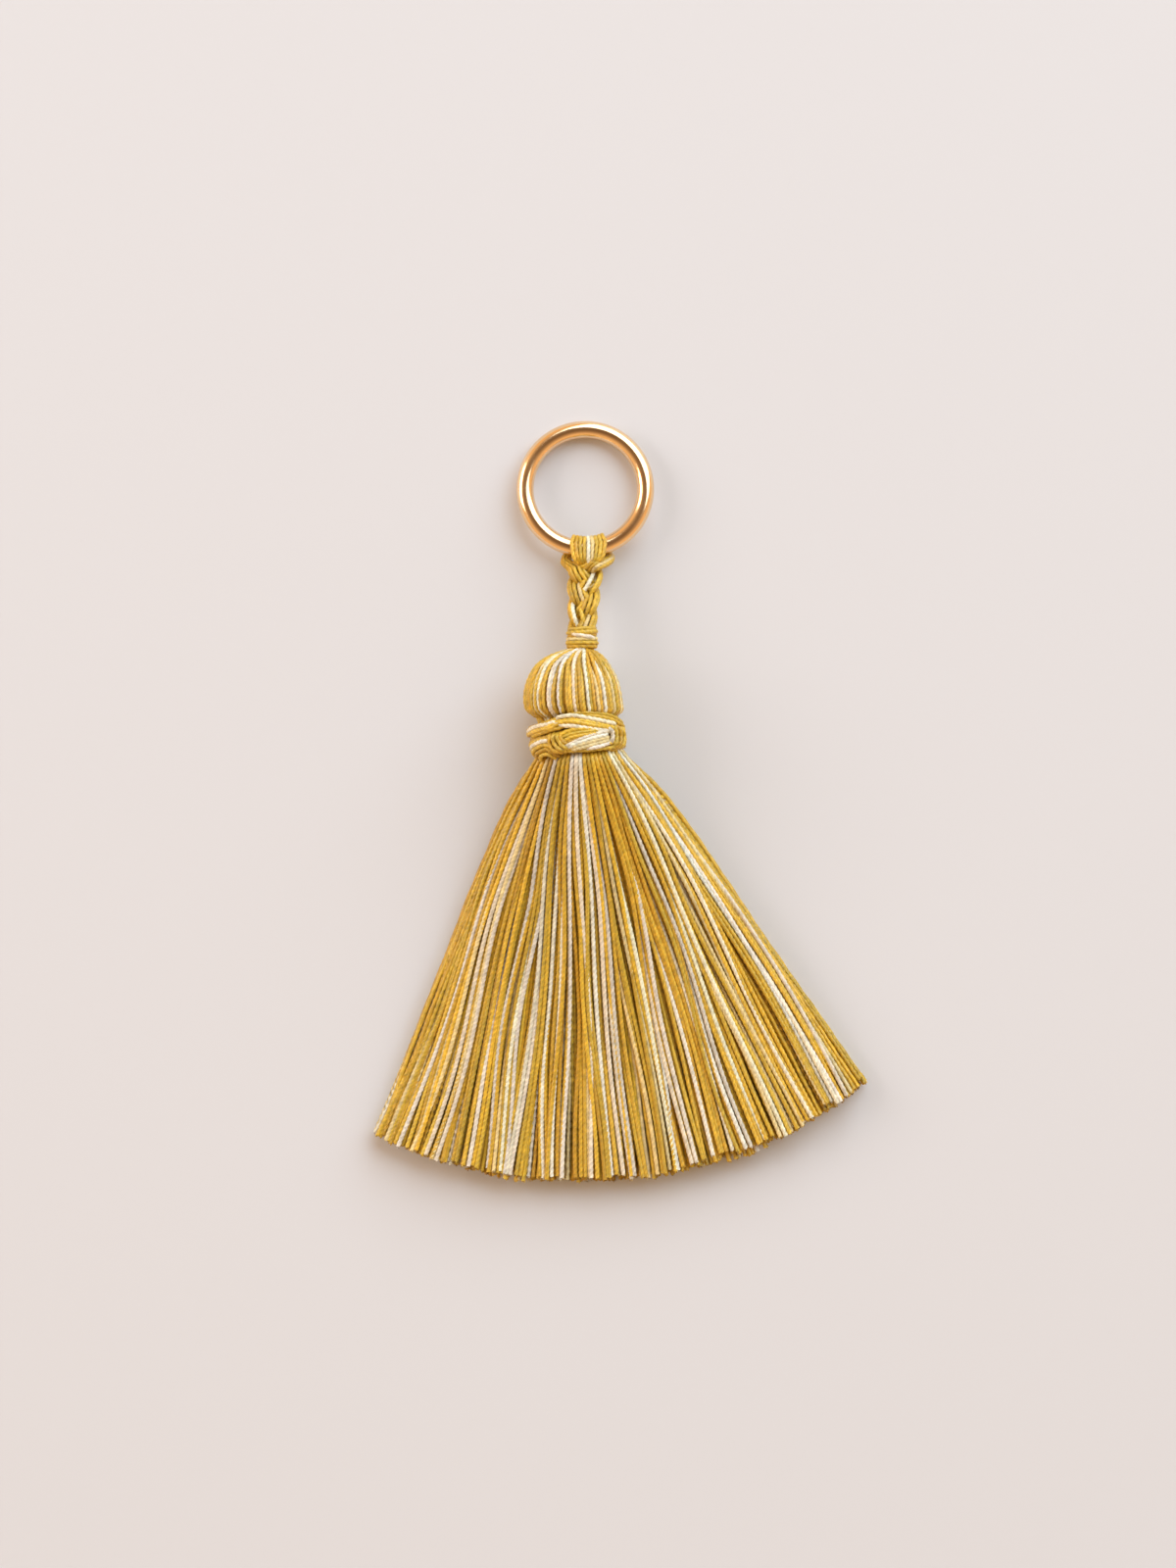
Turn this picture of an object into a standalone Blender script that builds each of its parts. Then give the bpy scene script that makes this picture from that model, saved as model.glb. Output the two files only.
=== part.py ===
"""A yarn tassel with a plaited hanger on a metal ring, lying on its back.

Seen from above, +X is to the right and +Y runs from the skirt's cut edge towards
the ring. +Z is up from the surface, which is at zero. The origin is in the middle
of the whole tassel's underside. Sizes are in millimetres until MM turns them into
metres, where a mesh point is made.
"""
import math
import random

import bpy
import bmesh
from mathutils import Matrix, Vector

MM = 0.001
FULL_TURN = 2.0 * math.pi

# Ring
RING_OUTER = 20.0
RING_WIRE = 2.5
RING_CENTRE = (-5.4, 44.8)
RING_TILT = math.radians(6.0)
RING_STEPS = 44
WIRE_SIDES = 12

# Clearances
PIECE_GAP = 0.3
STRAND_GAP_ACROSS = 0.18
STRAND_GAP_UP = 0.11

# Hanger: its loop round the wire, and the plait of three strands below it
LOOP_THICKNESS = 1.1
LOOP_HALF_WIDTH = 2.55
LOOP_FROM = -115
LOOP_TO = 75
LOOP_STEP = 19
PLAIT_PITCH = 9.4
PLAIT_START = 3.0
PLAIT_PHASE_START = 1.0
PLAIT_STEPS = 15
PLAIT_AMPLITUDE = 1.2
PLAIT_NARROWING = 0.72
PLAIT_DEPTH = 0.62
PLAIT_HALF_WIDTH = 1.05
PLAIT_HALF_THICKNESS = 0.82
PLAIT_CENTRE_LOW = 3.5
CORD_SIDES = 12
CORD_RIDGE = 0.07
FUSING_VOXEL = 0.24
FUSED_SHARE = 0.22

# Knot above the head
KNOT_CENTRE_X = -5.86
KNOT_TOP = 24.64
KNOT_LENGTH = 3.1
KNOT_HALF_WIDTH = 2.35
KNOT_HALF_DEPTH = 2.1
KNOT_CENTRE_HEIGHT = 6.4
KNOT_TURNS = 3
KNOT_GROOVE = 0.22
KNOT_SIDES = 24
KNOT_STEPS = 13
KNOT_SLANT = 0.35

# Head and neck
BUNDLE_HEIGHT = 6.7
HEAD_RIDGES = 36
RIDGE = 0.18
NECK_RADIUS = 5.6
NECK_TOP = 12.2
NECK_BOTTOM = 5.9

# Skirt: a fan of strands in rows, one row lying on the next
SKIRT_TOP_Y = 5.3
SKIRT_TOP_X = -5.7
SKIRT_TOP_HALF_WIDTH = 7.2
FAN_CENTRE = (-6.14, 6.5)
FAN_LEFT = math.radians(-28.6)
FAN_RIGHT = math.radians(41.0)
FAN_LENGTH_LEFT = 61.2
FAN_LENGTH_RIGHT = 63.0
FAN_BULGE = 8.5
SKIRT_TOP_HEIGHT = 13.0
SKIRT_END_HEIGHT = 4.6
SKIRT_EDGE_HEIGHT = 6.3
EDGE_INSET = 0.985
SETTLING = 2.2
EDGE_SETTLING = 6
ROUND_SECTION = 2.0
FLAT_SECTION = 4.5
DRIFT = 0.0035
DRIFT_WAVES = 7.0
STRAND_ROWS = 3
STRAND_COLUMNS = 70
STRAND_ROOT = 0.05
STRAND_STATIONS = (0.14, 0.45, 1.0)
CROWN_INSET = 0.24
CUT_UNEVENNESS = 0.8
SEED = 7

# Neck binding
BINDING_INNER = NECK_RADIUS + RIDGE + PIECE_GAP
BINDING_OUTER = 6.6
BINDING_TOP = 11.8
BINDING_BOTTOM = 6.2
BINDING_STEPS = 48
BINDING_ROWS = 11
BINDING_LEAN_OUTSIDE = 0.25
BINDING_LEAN_INSIDE = 0.1

# along: distance from the skirt's side to the ring's, middle: across, radius
HEAD_PROFILE = (
    {"along": 21.2, "middle": -6.1, "radius": 1.6},
    {"along": 20.8, "middle": -6.5, "radius": 3.1},
    {"along": 20.1, "middle": -6.9, "radius": 4.3},
    {"along": 18.9, "middle": -7.2, "radius": 5.5},
    {"along": 17.2, "middle": -7.25, "radius": 6.4},
    {"along": 15.3, "middle": -7.25, "radius": 6.95},
    {"along": 13.6, "middle": -7.15, "radius": 7.15},
    {"along": 12.5, "middle": -6.95, "radius": 7.1},
    {"along": NECK_TOP, "middle": -6.8, "radius": NECK_RADIUS},
    {"along": NECK_BOTTOM, "middle": -6.2, "radius": NECK_RADIUS},
)

# The three cords between the ring and the plait: across is from the ring's
# middle, down is from the wire's middle, height is from the surface
FRONT_CORD = (
    {"across": 0.15, "down": 1.5, "height": 5.05, "half_width": 2.0, "half_thickness": 0.6},
    {"across": 0.5, "down": 2.25, "height": 4.1, "half_width": 1.5, "half_thickness": 0.7},
)
LEFT_CORD = (
    {"across": -0.6, "down": -0.5, "height": 1.0, "half_width": 0.55, "half_thickness": 0.5},
    {"across": -2.2, "down": 0.5, "height": 0.98, "half_width": 0.7, "half_thickness": 0.5},
    {"across": -2.7, "down": 1.9, "height": 1.95, "half_width": 0.8, "half_thickness": 0.65},
    {"across": -2.0, "down": 2.6, "height": 3.1, "half_width": 0.95, "half_thickness": 0.75},
)
RIGHT_CORD = (
    {"across": 0.6, "down": -0.5, "height": 1.0, "half_width": 0.55, "half_thickness": 0.5},
    {"across": 2.6, "down": 0.1, "height": 0.96, "half_width": 0.65, "half_thickness": 0.5},
    {"across": 3.4, "down": 1.35, "height": 1.7, "half_width": 0.7, "half_thickness": 0.6},
    {"across": 2.8, "down": 2.15, "height": 3.2, "half_width": 0.8, "half_thickness": 0.7},
    {"across": 1.5, "down": 2.6, "height": 4.5, "half_width": 0.9, "half_thickness": 0.75},
)

# Turns of the binding: along at its left and right side, half its height, its rise
BINDING_TURNS = (
    {"left": 9.95, "right": 10.85, "half_height": 1.5, "rise": 0.75},
    {"left": 7.35, "right": 8.1, "half_height": 1.75, "rise": 0.8},
)
# Lumps of the binding's half knot and tucked ends: angle is from the top, to the right
BINDING_LUMPS = (
    {"angle": -20.0, "along": 7.9, "half_angle": 9.0, "half_along": 2.2, "rise": 0.5},
    {"angle": 72.0, "along": 8.1, "half_angle": 10.0, "half_along": 2.2, "rise": 0.45},
    {"angle": -52.0, "along": 6.9, "half_angle": 16.0, "half_along": 1.1, "rise": 0.4},
)


def clear_scene():
    """Remove whatever the file was opened with."""
    for item in list(bpy.data.objects):
        bpy.data.objects.remove(item, do_unlink=True)


def finish(name, colour, roughness, metallic):
    """A plain material with the piece's colour."""
    material = bpy.data.materials.new(name)
    material.use_nodes = True
    shader = material.node_tree.nodes["Principled BSDF"]
    shader.inputs["Base Color"].default_value = (*colour, 1.0)
    shader.inputs["Roughness"].default_value = roughness
    shader.inputs["Metallic"].default_value = metallic
    return material


def to_object(name, bm, material, crease=35.0):
    """Turn a bmesh into a named object with outward faces."""
    bmesh.ops.recalc_face_normals(bm, faces=bm.faces)
    mesh = bpy.data.meshes.new(name)
    bm.to_mesh(mesh)
    bm.free()
    mesh.materials.append(material)
    mesh.shade_smooth()
    mesh.set_sharp_from_angle(angle=math.radians(crease))
    piece = bpy.data.objects.new(name, mesh)
    bpy.context.collection.objects.link(piece)
    return piece


def add_point(bm, x, y, z):
    """Make a mesh point from millimetres."""
    return bm.verts.new((x * MM, y * MM, z * MM))


def bridge(bm, first, second):
    """Fill the band between two closed loops of equally many points."""
    count = len(first)
    for i in range(count):
        j = (i + 1) % count
        bm.faces.new((first[i], first[j], second[j], second[i]))


def stitch(bm, first, second):
    """Fill the band between two closed loops of (turn, point), sorted by turn."""
    a = 0
    b = 0
    while a < len(first) or b < len(second):
        point_a = first[a % len(first)][1]
        point_b = second[b % len(second)][1]
        turn_a = first[(a + 1) % len(first)][0] + FULL_TURN * ((a + 1) // len(first))
        turn_b = second[(b + 1) % len(second)][0] + FULL_TURN * ((b + 1) // len(second))
        if b == len(second) or (a < len(first) and turn_a <= turn_b):
            bm.faces.new((point_a, first[(a + 1) % len(first)][1], point_b))
            a += 1
        else:
            bm.faces.new((point_a, second[(b + 1) % len(second)][1], point_b))
            b += 1


def mix(start, end, share):
    """The value that lies a share of the way from start to end."""
    return start + (end - start) * share


def ring_wire_radius():
    """Distance from the ring's middle to its wire's middle."""
    return (RING_OUTER - RING_WIRE) / 2.0


def wire_at_loop():
    """Place of the wire's middle where the hanger's loop passes round it."""
    across, along = RING_CENTRE
    reach = ring_wire_radius()
    y = along - reach * math.cos(RING_TILT)
    z = RING_WIRE / 2.0 + 2.0 * reach * math.sin(RING_TILT)
    return Vector((across, y, z))


def make_ring():
    """A closed ring of round wire, its far side resting on the surface."""
    bm = bmesh.new()
    radius = RING_WIRE / 2.0
    profile = []
    for i in range(WIRE_SIDES):
        turn = FULL_TURN * i / WIRE_SIDES
        x = ring_wire_radius() + radius * math.cos(turn)
        profile.append(add_point(bm, x, 0.0, radius * math.sin(turn)))
    edges = [bm.edges.new((profile[i - 1], profile[i])) for i in range(WIRE_SIDES)]
    bmesh.ops.spin(bm, geom=profile + edges, axis=(0.0, 0.0, 1.0), cent=(0.0, 0.0, 0.0),
                   angle=FULL_TURN, steps=RING_STEPS, use_merge=True)
    bmesh.ops.rotate(bm, verts=bm.verts, cent=(0.0, 0.0, 0.0),
                     matrix=Matrix.Rotation(-RING_TILT, 3, "X"))
    lowest = min(vert.co.z for vert in bm.verts)
    shift = (RING_CENTRE[0] * MM, RING_CENTRE[1] * MM, -lowest)
    bmesh.ops.translate(bm, verts=bm.verts, vec=shift)
    return to_object("ring", bm, finish("ring_gold", (0.83, 0.55, 0.24), 0.16, 1.0))


def smooth_route(stations):
    """Add two smooth in-between stations after each of a cord's stations."""
    route = []
    for i in range(len(stations) - 1):
        before = stations[max(i - 1, 0)]
        here = stations[i]
        after = stations[i + 1]
        beyond = stations[min(i + 2, len(stations) - 1)]
        for step in range(2):
            t = step / 2.0
            route.append([
                0.5 * (2.0 * b + (c - a) * t
                       + (2.0 * a - 5.0 * b + 4.0 * c - d) * t ** 2
                       + (3.0 * b - a - 3.0 * c + d) * t ** 3)
                for a, b, c, d in zip(before, here, after, beyond)])
    route.append(list(stations[-1]))
    return route


def add_cord(bm, route):
    """A ridged cord along stations of x, y, z, half width, half thickness, bow.

    The cord's width lies across its way and level, and a bow above zero bends
    its two edges towards the ring's middle, as the wire under it bends. It ends
    square to the knot.
    """
    points = [Vector(row[:3]) for row in route]
    loops = []
    side = Vector((1.0, 0.0, 0.0))
    for i, row in enumerate(route):
        if i < len(points) - 1:
            ahead = (points[i + 1] - points[max(i - 1, 0)]).normalized()
        else:
            ahead = Vector((0.0, -1.0, 0.0))
        side = side - ahead * side.dot(ahead)
        side.normalize()
        up = side.cross(ahead)
        loop = []
        for j in range(CORD_SIDES):
            turn = FULL_TURN * j / CORD_SIDES
            size = 1.0 + CORD_RIDGE * (1 if j % 2 else -1)
            across = row[3] * size * math.cos(turn)
            rise = row[4] * size * math.sin(turn)
            place = points[i] + side * across + up * rise
            loop.append(add_point(bm, place.x, place.y + row[5] * across ** 2, place.z))
        loops.append(loop)
    for i in range(len(loops) - 1):
        bridge(bm, loops[i], loops[i + 1])
    bm.faces.new(loops[0])
    bm.faces.new(loops[-1])


def plait_stations(phase):
    """Stations of one strand of the plait, a third of a turn apart from the next."""
    wire = wire_at_loop()
    end = wire.y - KNOT_TOP - PIECE_GAP
    rows = []
    for i in range(PLAIT_STEPS + 1):
        share = i / PLAIT_STEPS
        down = mix(PLAIT_START, end, share)
        turn = FULL_TURN * ((down - PLAIT_PHASE_START) / PLAIT_PITCH + 0.25) + phase
        middle = mix(wire.x, KNOT_CENTRE_X, share)
        x = middle + PLAIT_AMPLITUDE * mix(1.0, PLAIT_NARROWING, share) * math.sin(turn)
        height = mix(PLAIT_CENTRE_LOW, KNOT_CENTRE_HEIGHT, share)
        z = height - PLAIT_DEPTH * math.sin(2.0 * turn)
        rows.append([x, wire.y - down, z, PLAIT_HALF_WIDTH, PLAIT_HALF_THICKNESS, 0.0])
    return rows


def cord_stations(table):
    """Stations of a cord between the ring and the plait, from its table."""
    wire = wire_at_loop()
    return [[wire.x + row["across"], wire.y - row["down"], row["height"],
             row["half_width"], row["half_thickness"], 0.0] for row in table]


def loop_stations():
    """Stations of the flat band that goes under, through and over the wire."""
    wire = wire_at_loop()
    reach = (RING_WIRE + LOOP_THICKNESS) / 2.0 + PIECE_GAP + CORD_RIDGE
    bow = 0.5 / ring_wire_radius()
    rows = []
    for degrees in range(LOOP_FROM, LOOP_TO + 1, LOOP_STEP):
        turn = math.radians(degrees)
        y = wire.y + reach * math.cos(turn)
        z = wire.z + reach * math.sin(turn)
        rows.append([wire.x, y, z, LOOP_HALF_WIDTH, LOOP_THICKNESS / 2.0, bow])
    return rows


def make_hanger():
    """Three cords in a plait, fused where they cross, with a loop round the wire."""
    bm = bmesh.new()
    third = FULL_TURN / 3.0
    add_cord(bm, loop_stations() + smooth_route(cord_stations(FRONT_CORD) + plait_stations(-third)))
    add_cord(bm, smooth_route(cord_stations(LEFT_CORD) + plait_stations(third)))
    add_cord(bm, smooth_route(cord_stations(RIGHT_CORD) + plait_stations(0.0)))
    hanger = to_object("hanger", bm, finish("hanger_yarn", (0.62, 0.42, 0.07), 0.6, 0.0))
    fuse = hanger.modifiers.new("fuse", "REMESH")
    fuse.mode = "VOXEL"
    fuse.voxel_size = FUSING_VOXEL * MM
    thin = hanger.modifiers.new("thin", "DECIMATE")
    thin.ratio = FUSED_SHARE
    return hanger


def make_knot():
    """The wrapped knot: three slanting turns of cord round the plait's end."""
    bm = bmesh.new()
    loops = []
    for i in range(KNOT_STEPS):
        share = i / (KNOT_STEPS - 1)
        ridge = abs(math.sin(math.pi * KNOT_TURNS * share))
        size = 1.0 - KNOT_GROOVE * (1.0 - ridge)
        loop = []
        for j in range(KNOT_SIDES):
            turn = FULL_TURN * j / KNOT_SIDES
            slant = KNOT_SLANT * math.cos(turn) * math.sin(math.pi * share)
            x = KNOT_CENTRE_X + KNOT_HALF_WIDTH * size * math.cos(turn)
            y = KNOT_TOP - KNOT_LENGTH * share + slant
            z = KNOT_CENTRE_HEIGHT + KNOT_HALF_DEPTH * size * math.sin(turn)
            loop.append(add_point(bm, x, y, z))
        loops.append(loop)
    for i in range(KNOT_STEPS - 1):
        bridge(bm, loops[i], loops[i + 1])
    bm.faces.new(loops[0])
    bm.faces.new(loops[-1])
    return to_object("top_knot", bm, finish("knot_yarn", (0.68, 0.47, 0.14), 0.6, 0.0))


def make_binding():
    """Two turns of cord round the neck, with the lumps of their half knot."""
    bm = bmesh.new()
    loops = []
    for i in range(BINDING_STEPS):
        angle = FULL_TURN * i / BINDING_STEPS
        tilt = math.sin(angle)
        loop = []
        for j in range(BINDING_ROWS):
            along = mix(BINDING_BOTTOM, BINDING_TOP, j / (BINDING_ROWS - 1))
            radius = BINDING_OUTER + binding_rise(angle, along)
            place = along + BINDING_LEAN_OUTSIDE * tilt
            loop.append(binding_point(bm, radius, angle, place))
        for along in (BINDING_TOP, BINDING_BOTTOM):
            place = along + BINDING_LEAN_INSIDE * tilt
            loop.append(binding_point(bm, BINDING_INNER, angle, place))
        loops.append(loop)
    for i in range(BINDING_STEPS):
        bridge(bm, loops[i - 1], loops[i])
    return to_object("neck_binding", bm, finish("binding_yarn", (0.7, 0.44, 0.06), 0.6, 0.0))


def neck_middle(along):
    """The neck's middle, across, at a place along it."""
    share = (NECK_TOP - along) / (NECK_TOP - NECK_BOTTOM)
    return mix(HEAD_PROFILE[-2]["middle"], HEAD_PROFILE[-1]["middle"], share)


def binding_point(bm, radius, angle, along):
    """A point round the neck, none of it below the surface."""
    x = neck_middle(along) + radius * math.sin(angle)
    z = max(0.0, BUNDLE_HEIGHT + radius * math.cos(angle))
    return add_point(bm, x, along, z)


def binding_rise(angle, along):
    """How far the binding's turns and lumps stand out at a place."""
    rise = 0.0
    for row in BINDING_TURNS:
        middle = mix(row["left"], row["right"], 0.5 + 0.5 * math.sin(angle))
        off = (along - middle) / row["half_height"]
        rise = max(rise, row["rise"] * math.sqrt(max(0.0, 1.0 - off * off)))
    for row in BINDING_LUMPS:
        turn = (math.degrees(angle) - row["angle"] + 180.0) % 360.0 - 180.0
        off = (turn / row["half_angle"]) ** 2 + ((along - row["along"]) / row["half_along"]) ** 2
        rise += row["rise"] * max(0.0, 1.0 - off)
    return rise


def column_edges():
    """The edges of the skirt's columns of strands, from 0 at the left to 1."""
    draw = random.Random(SEED)
    widths = [draw.uniform(0.7, 1.3) for _ in range(STRAND_COLUMNS)]
    total = sum(widths)
    edges = [0.0]
    for width in widths:
        edges.append(edges[-1] + width / total)
    return edges


def skirt_point(across, up, down, row):
    """A place in the skirt, in millimetres.

    across runs from 0 at the left edge to 1 at the right, up from 0 at the
    underside to 1 at the upper side, and down from 0 at the neck to 1 at the cut
    edge. Each row of strands drifts sideways a little in its own way.
    """
    drift = DRIFT * math.sin(FULL_TURN * (DRIFT_WAVES + row) * across + 2.0 * row) * down
    across = min(max(across + drift * across * (1.0 - across) * 4.0, 0.0), 1.0)
    side = 2.0 * across - 1.0
    angle = mix(FAN_LEFT, FAN_RIGHT, across)
    length = mix(FAN_LENGTH_LEFT, FAN_LENGTH_RIGHT, across)
    start_x = SKIRT_TOP_X + SKIRT_TOP_HALF_WIDTH * side
    end_x = FAN_CENTRE[0] + length * math.sin(angle)
    end_y = FAN_CENTRE[1] - length * math.cos(angle)
    bulge = FAN_BULGE * side * max(0.0, down) * max(0.0, 1.0 - down) ** 3
    x = mix(start_x, end_x, down) + bulge
    y = mix(SKIRT_TOP_Y, end_y, down)
    left = max(0.0, 1.0 - down)
    top = mix(SKIRT_END_HEIGHT, SKIRT_TOP_HEIGHT, left ** SETTLING)
    edge = SKIRT_EDGE_HEIGHT * left ** EDGE_SETTLING
    power = mix(ROUND_SECTION, FLAT_SECTION, min(1.0, down))
    fullness = (1.0 - (EDGE_INSET * abs(side)) ** power) ** (1.0 / power)
    low = edge * (1.0 - fullness)
    high = edge + (top - edge) * fullness
    return x, y, mix(low, high, up)


def outline_turn(across, up):
    """The turn, from 0 at the right side, of a point on the skirt's outline."""
    return math.atan2(2.0 * up - 1.0, 2.0 * across - 1.0) % FULL_TURN


def head_loops(bm):
    """Loops of the head and neck, with a ridge for every lock of yarn."""
    loops = []
    count = 2 * HEAD_RIDGES
    for row in HEAD_PROFILE:
        loop = []
        for j in range(count):
            turn = FULL_TURN * j / count
            ridge = RIDGE if j % 2 else -RIDGE
            radius = row["radius"] + ridge * min(1.0, row["radius"] / NECK_RADIUS)
            x = row["middle"] + radius * math.cos(turn)
            z = max(0.0, BUNDLE_HEIGHT + radius * math.sin(turn))
            loop.append(add_point(bm, x, row["along"], z))
        loops.append(loop)
    return loops


def skirt_loop(bm, down):
    """A loop round the skirt where its yarns still lie pressed together."""
    loop = []
    count = 2 * HEAD_RIDGES
    for j in range(count):
        turn = FULL_TURN * j / count
        across = 0.5 + 0.5 * math.cos(turn)
        up = 0.5 if j in (0, HEAD_RIDGES) else float(j < HEAD_RIDGES)
        x, y, z = skirt_point(across, up, down, 0)
        ridge = RIDGE * (1 if j % 2 else -1)
        point = add_point(bm, x + ridge * math.cos(turn), y, max(0.0, z + ridge * math.sin(turn)))
        loop.append(point)
    return loop


def make_head_and_skirt():
    """The yarn bundle: head and neck as one backing, and the strands rooted in it."""
    bm = bmesh.new()
    loops = head_loops(bm) + [skirt_loop(bm, 0.0)]
    bm.faces.new(loops[0])
    for i in range(len(loops) - 1):
        bridge(bm, loops[i], loops[i + 1])
    count = 2 * HEAD_RIDGES
    coarse = [(FULL_TURN * j / count, loops[-1][j]) for j in range(count)]

    edges = column_edges()
    rows = [row / STRAND_ROWS for row in range(STRAND_ROWS + 1)]
    grid = {}
    outline = []
    for c, across in enumerate(edges):
        for r, up in enumerate(rows):
            grid[c, r] = add_point(bm, *skirt_point(across, up, STRAND_ROOT, 0))
            if c in (0, STRAND_COLUMNS) or r in (0, STRAND_ROWS):
                outline.append((outline_turn(across, up), grid[c, r]))
    outline.sort(key=lambda pair: pair[0])
    stitch(bm, coarse, outline)

    draw = random.Random(SEED + 1)
    for r in range(STRAND_ROWS):
        for c in range(STRAND_COLUMNS):
            cell = (grid[c, r], grid[c + 1, r], grid[c + 1, r + 1], grid[c, r + 1])
            reach = 1.0 + draw.uniform(-CUT_UNEVENNESS, CUT_UNEVENNESS) / FAN_LENGTH_LEFT
            add_strand(bm, cell, edges[c:c + 2], rows[r:r + 2], reach, r)
    return to_object("head_and_skirt", bm, finish("skirt_yarn", (0.66, 0.46, 0.1), 0.6, 0.0))


def add_strand(bm, cell, across, up, reach, row):
    """One four-sided strand from its root cell to its cut end."""
    width = across[1] - across[0]
    height = up[1] - up[0]
    left = across[0] + width * STRAND_GAP_ACROSS / 2.0
    right = across[1] - width * STRAND_GAP_ACROSS / 2.0
    low = up[0] + (height * STRAND_GAP_UP / 2.0 if row else 0.0)
    high = up[1] - height * STRAND_GAP_UP / 2.0
    crown = width * CROWN_INSET
    corners = ((left, low), (right, low), (right - crown, high), (left + crown, high))
    last = cell
    for station in (0.0, *STRAND_STATIONS):
        down = mix(STRAND_ROOT, reach, station)
        lowest = 0.0 if station else up[0] + height * STRAND_GAP_UP / 2.0
        places = [(a, max(u, lowest)) for a, u in corners]
        loop = [add_point(bm, *skirt_point(a, u, down, row * station)) for a, u in places]
        bridge(bm, last, loop)
        last = loop
    bm.faces.new(last)


def centre_on_origin(pieces):
    """Hang the pieces on one empty, so that the origin is under their middle."""
    bpy.context.view_layer.update()
    corners = [piece.matrix_world @ Vector(corner)
               for piece in pieces for corner in piece.bound_box]
    frame = bpy.data.objects.new("tassel_frame", None)
    bpy.context.collection.objects.link(frame)
    for axis in (0, 1):
        low = min(corner[axis] for corner in corners)
        high = max(corner[axis] for corner in corners)
        frame.location[axis] = -(low + high) / 2.0
    for piece in pieces:
        piece.parent = frame


def main():
    clear_scene()
    pieces = [make_ring(), make_hanger(), make_knot(), make_binding(), make_head_and_skirt()]
    centre_on_origin(pieces)


main()
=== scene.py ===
# %% [markdown]
# A yarn tassel on a metal ring, step by step.
# The solid model is already made. It says how long, wide and thick each piece is,
# and where it lies. This notebook dresses it: every yarn becomes a tube of its own
# with its real twist, and the ring becomes polished metal. The model is loaded
# first, because every piece below is placed by it.

# %% Load the model
import math
import random

import bpy
import bmesh
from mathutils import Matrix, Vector


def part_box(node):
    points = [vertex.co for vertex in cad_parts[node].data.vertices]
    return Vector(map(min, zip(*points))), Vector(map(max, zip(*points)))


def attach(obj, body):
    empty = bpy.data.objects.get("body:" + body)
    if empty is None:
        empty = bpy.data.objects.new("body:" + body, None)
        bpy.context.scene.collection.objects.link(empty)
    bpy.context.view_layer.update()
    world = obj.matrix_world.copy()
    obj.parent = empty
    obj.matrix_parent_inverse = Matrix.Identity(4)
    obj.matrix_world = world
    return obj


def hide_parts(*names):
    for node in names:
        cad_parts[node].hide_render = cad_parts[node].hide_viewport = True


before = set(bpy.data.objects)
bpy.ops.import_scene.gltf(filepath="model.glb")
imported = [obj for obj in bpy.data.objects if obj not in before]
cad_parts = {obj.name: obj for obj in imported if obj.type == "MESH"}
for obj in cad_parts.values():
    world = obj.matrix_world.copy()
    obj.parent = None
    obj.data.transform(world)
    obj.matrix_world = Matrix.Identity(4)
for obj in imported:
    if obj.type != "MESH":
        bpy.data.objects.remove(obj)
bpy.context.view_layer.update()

# %% [markdown]
# The maker's own measures are in millimetres, with the ring's middle at a known
# place. The model's origin is under the middle of the whole tassel instead, so one
# small shift takes a measure from the one to the other. A helper that does both
# the shift and the change of unit keeps every later cell in plain millimetres.

# %% Millimetres to the model's metres
MM = 0.001
FULL_TURN = 2.0 * math.pi
RING_MIDDLE = (-5.4, 44.8)
ring_low, ring_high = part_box("ring")
SHIFT_X = (ring_low[0] + ring_high[0]) / 2.0 / MM - RING_MIDDLE[0]
SHIFT_Y = (ring_low[1] + ring_high[1]) / 2.0 / MM - RING_MIDDLE[1]


def metres(point):
    """A point in the maker's millimetres, as the model's metres."""
    return Vector(((point[0] + SHIFT_X) * MM, (point[1] + SHIFT_Y) * MM, point[2] * MM))


def mix(start, end, share):
    """The value that lies a share of the way from start to end."""
    return start + (end - start) * share


print("shift in millimetres:", round(SHIFT_X, 3), round(SHIFT_Y, 3))

# %% [markdown]
# The yarn's colours. The tassel is wound from gold, straw and cream yarns held
# together, so a yarn keeps its colour over its whole length. The gold comes in two
# dye lots, and every lot varies a little. Each yarn therefore gets a colour of its
# own near one of the four below, stored on its points and read by one material.

# %% Yarn colours
YARN_DYES = {
    "gold": (0.82, 0.525, 0.045),
    "amber": (0.72, 0.42, 0.030),
    "straw": (0.93, 0.75, 0.37),
    "cream": (1.0, 0.90, 0.75),
}
DARKEST, LIGHTEST = 0.86, 1.12
WARMEST = 0.05


def dyed(dye, draw):
    """One yarn's colour: its dye, a little lighter or darker and warmer or cooler."""
    light = draw.uniform(DARKEST, LIGHTEST)
    warm = draw.uniform(-WARMEST, WARMEST)
    red, green, blue = YARN_DYES[dye]
    return (min(1.0, red * light * (1.0 + warm)), min(1.0, green * light),
            min(1.0, blue * light * (1.0 - 2.0 * warm)), 1.0)


print("dyes:", ", ".join(YARN_DYES))
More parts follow.
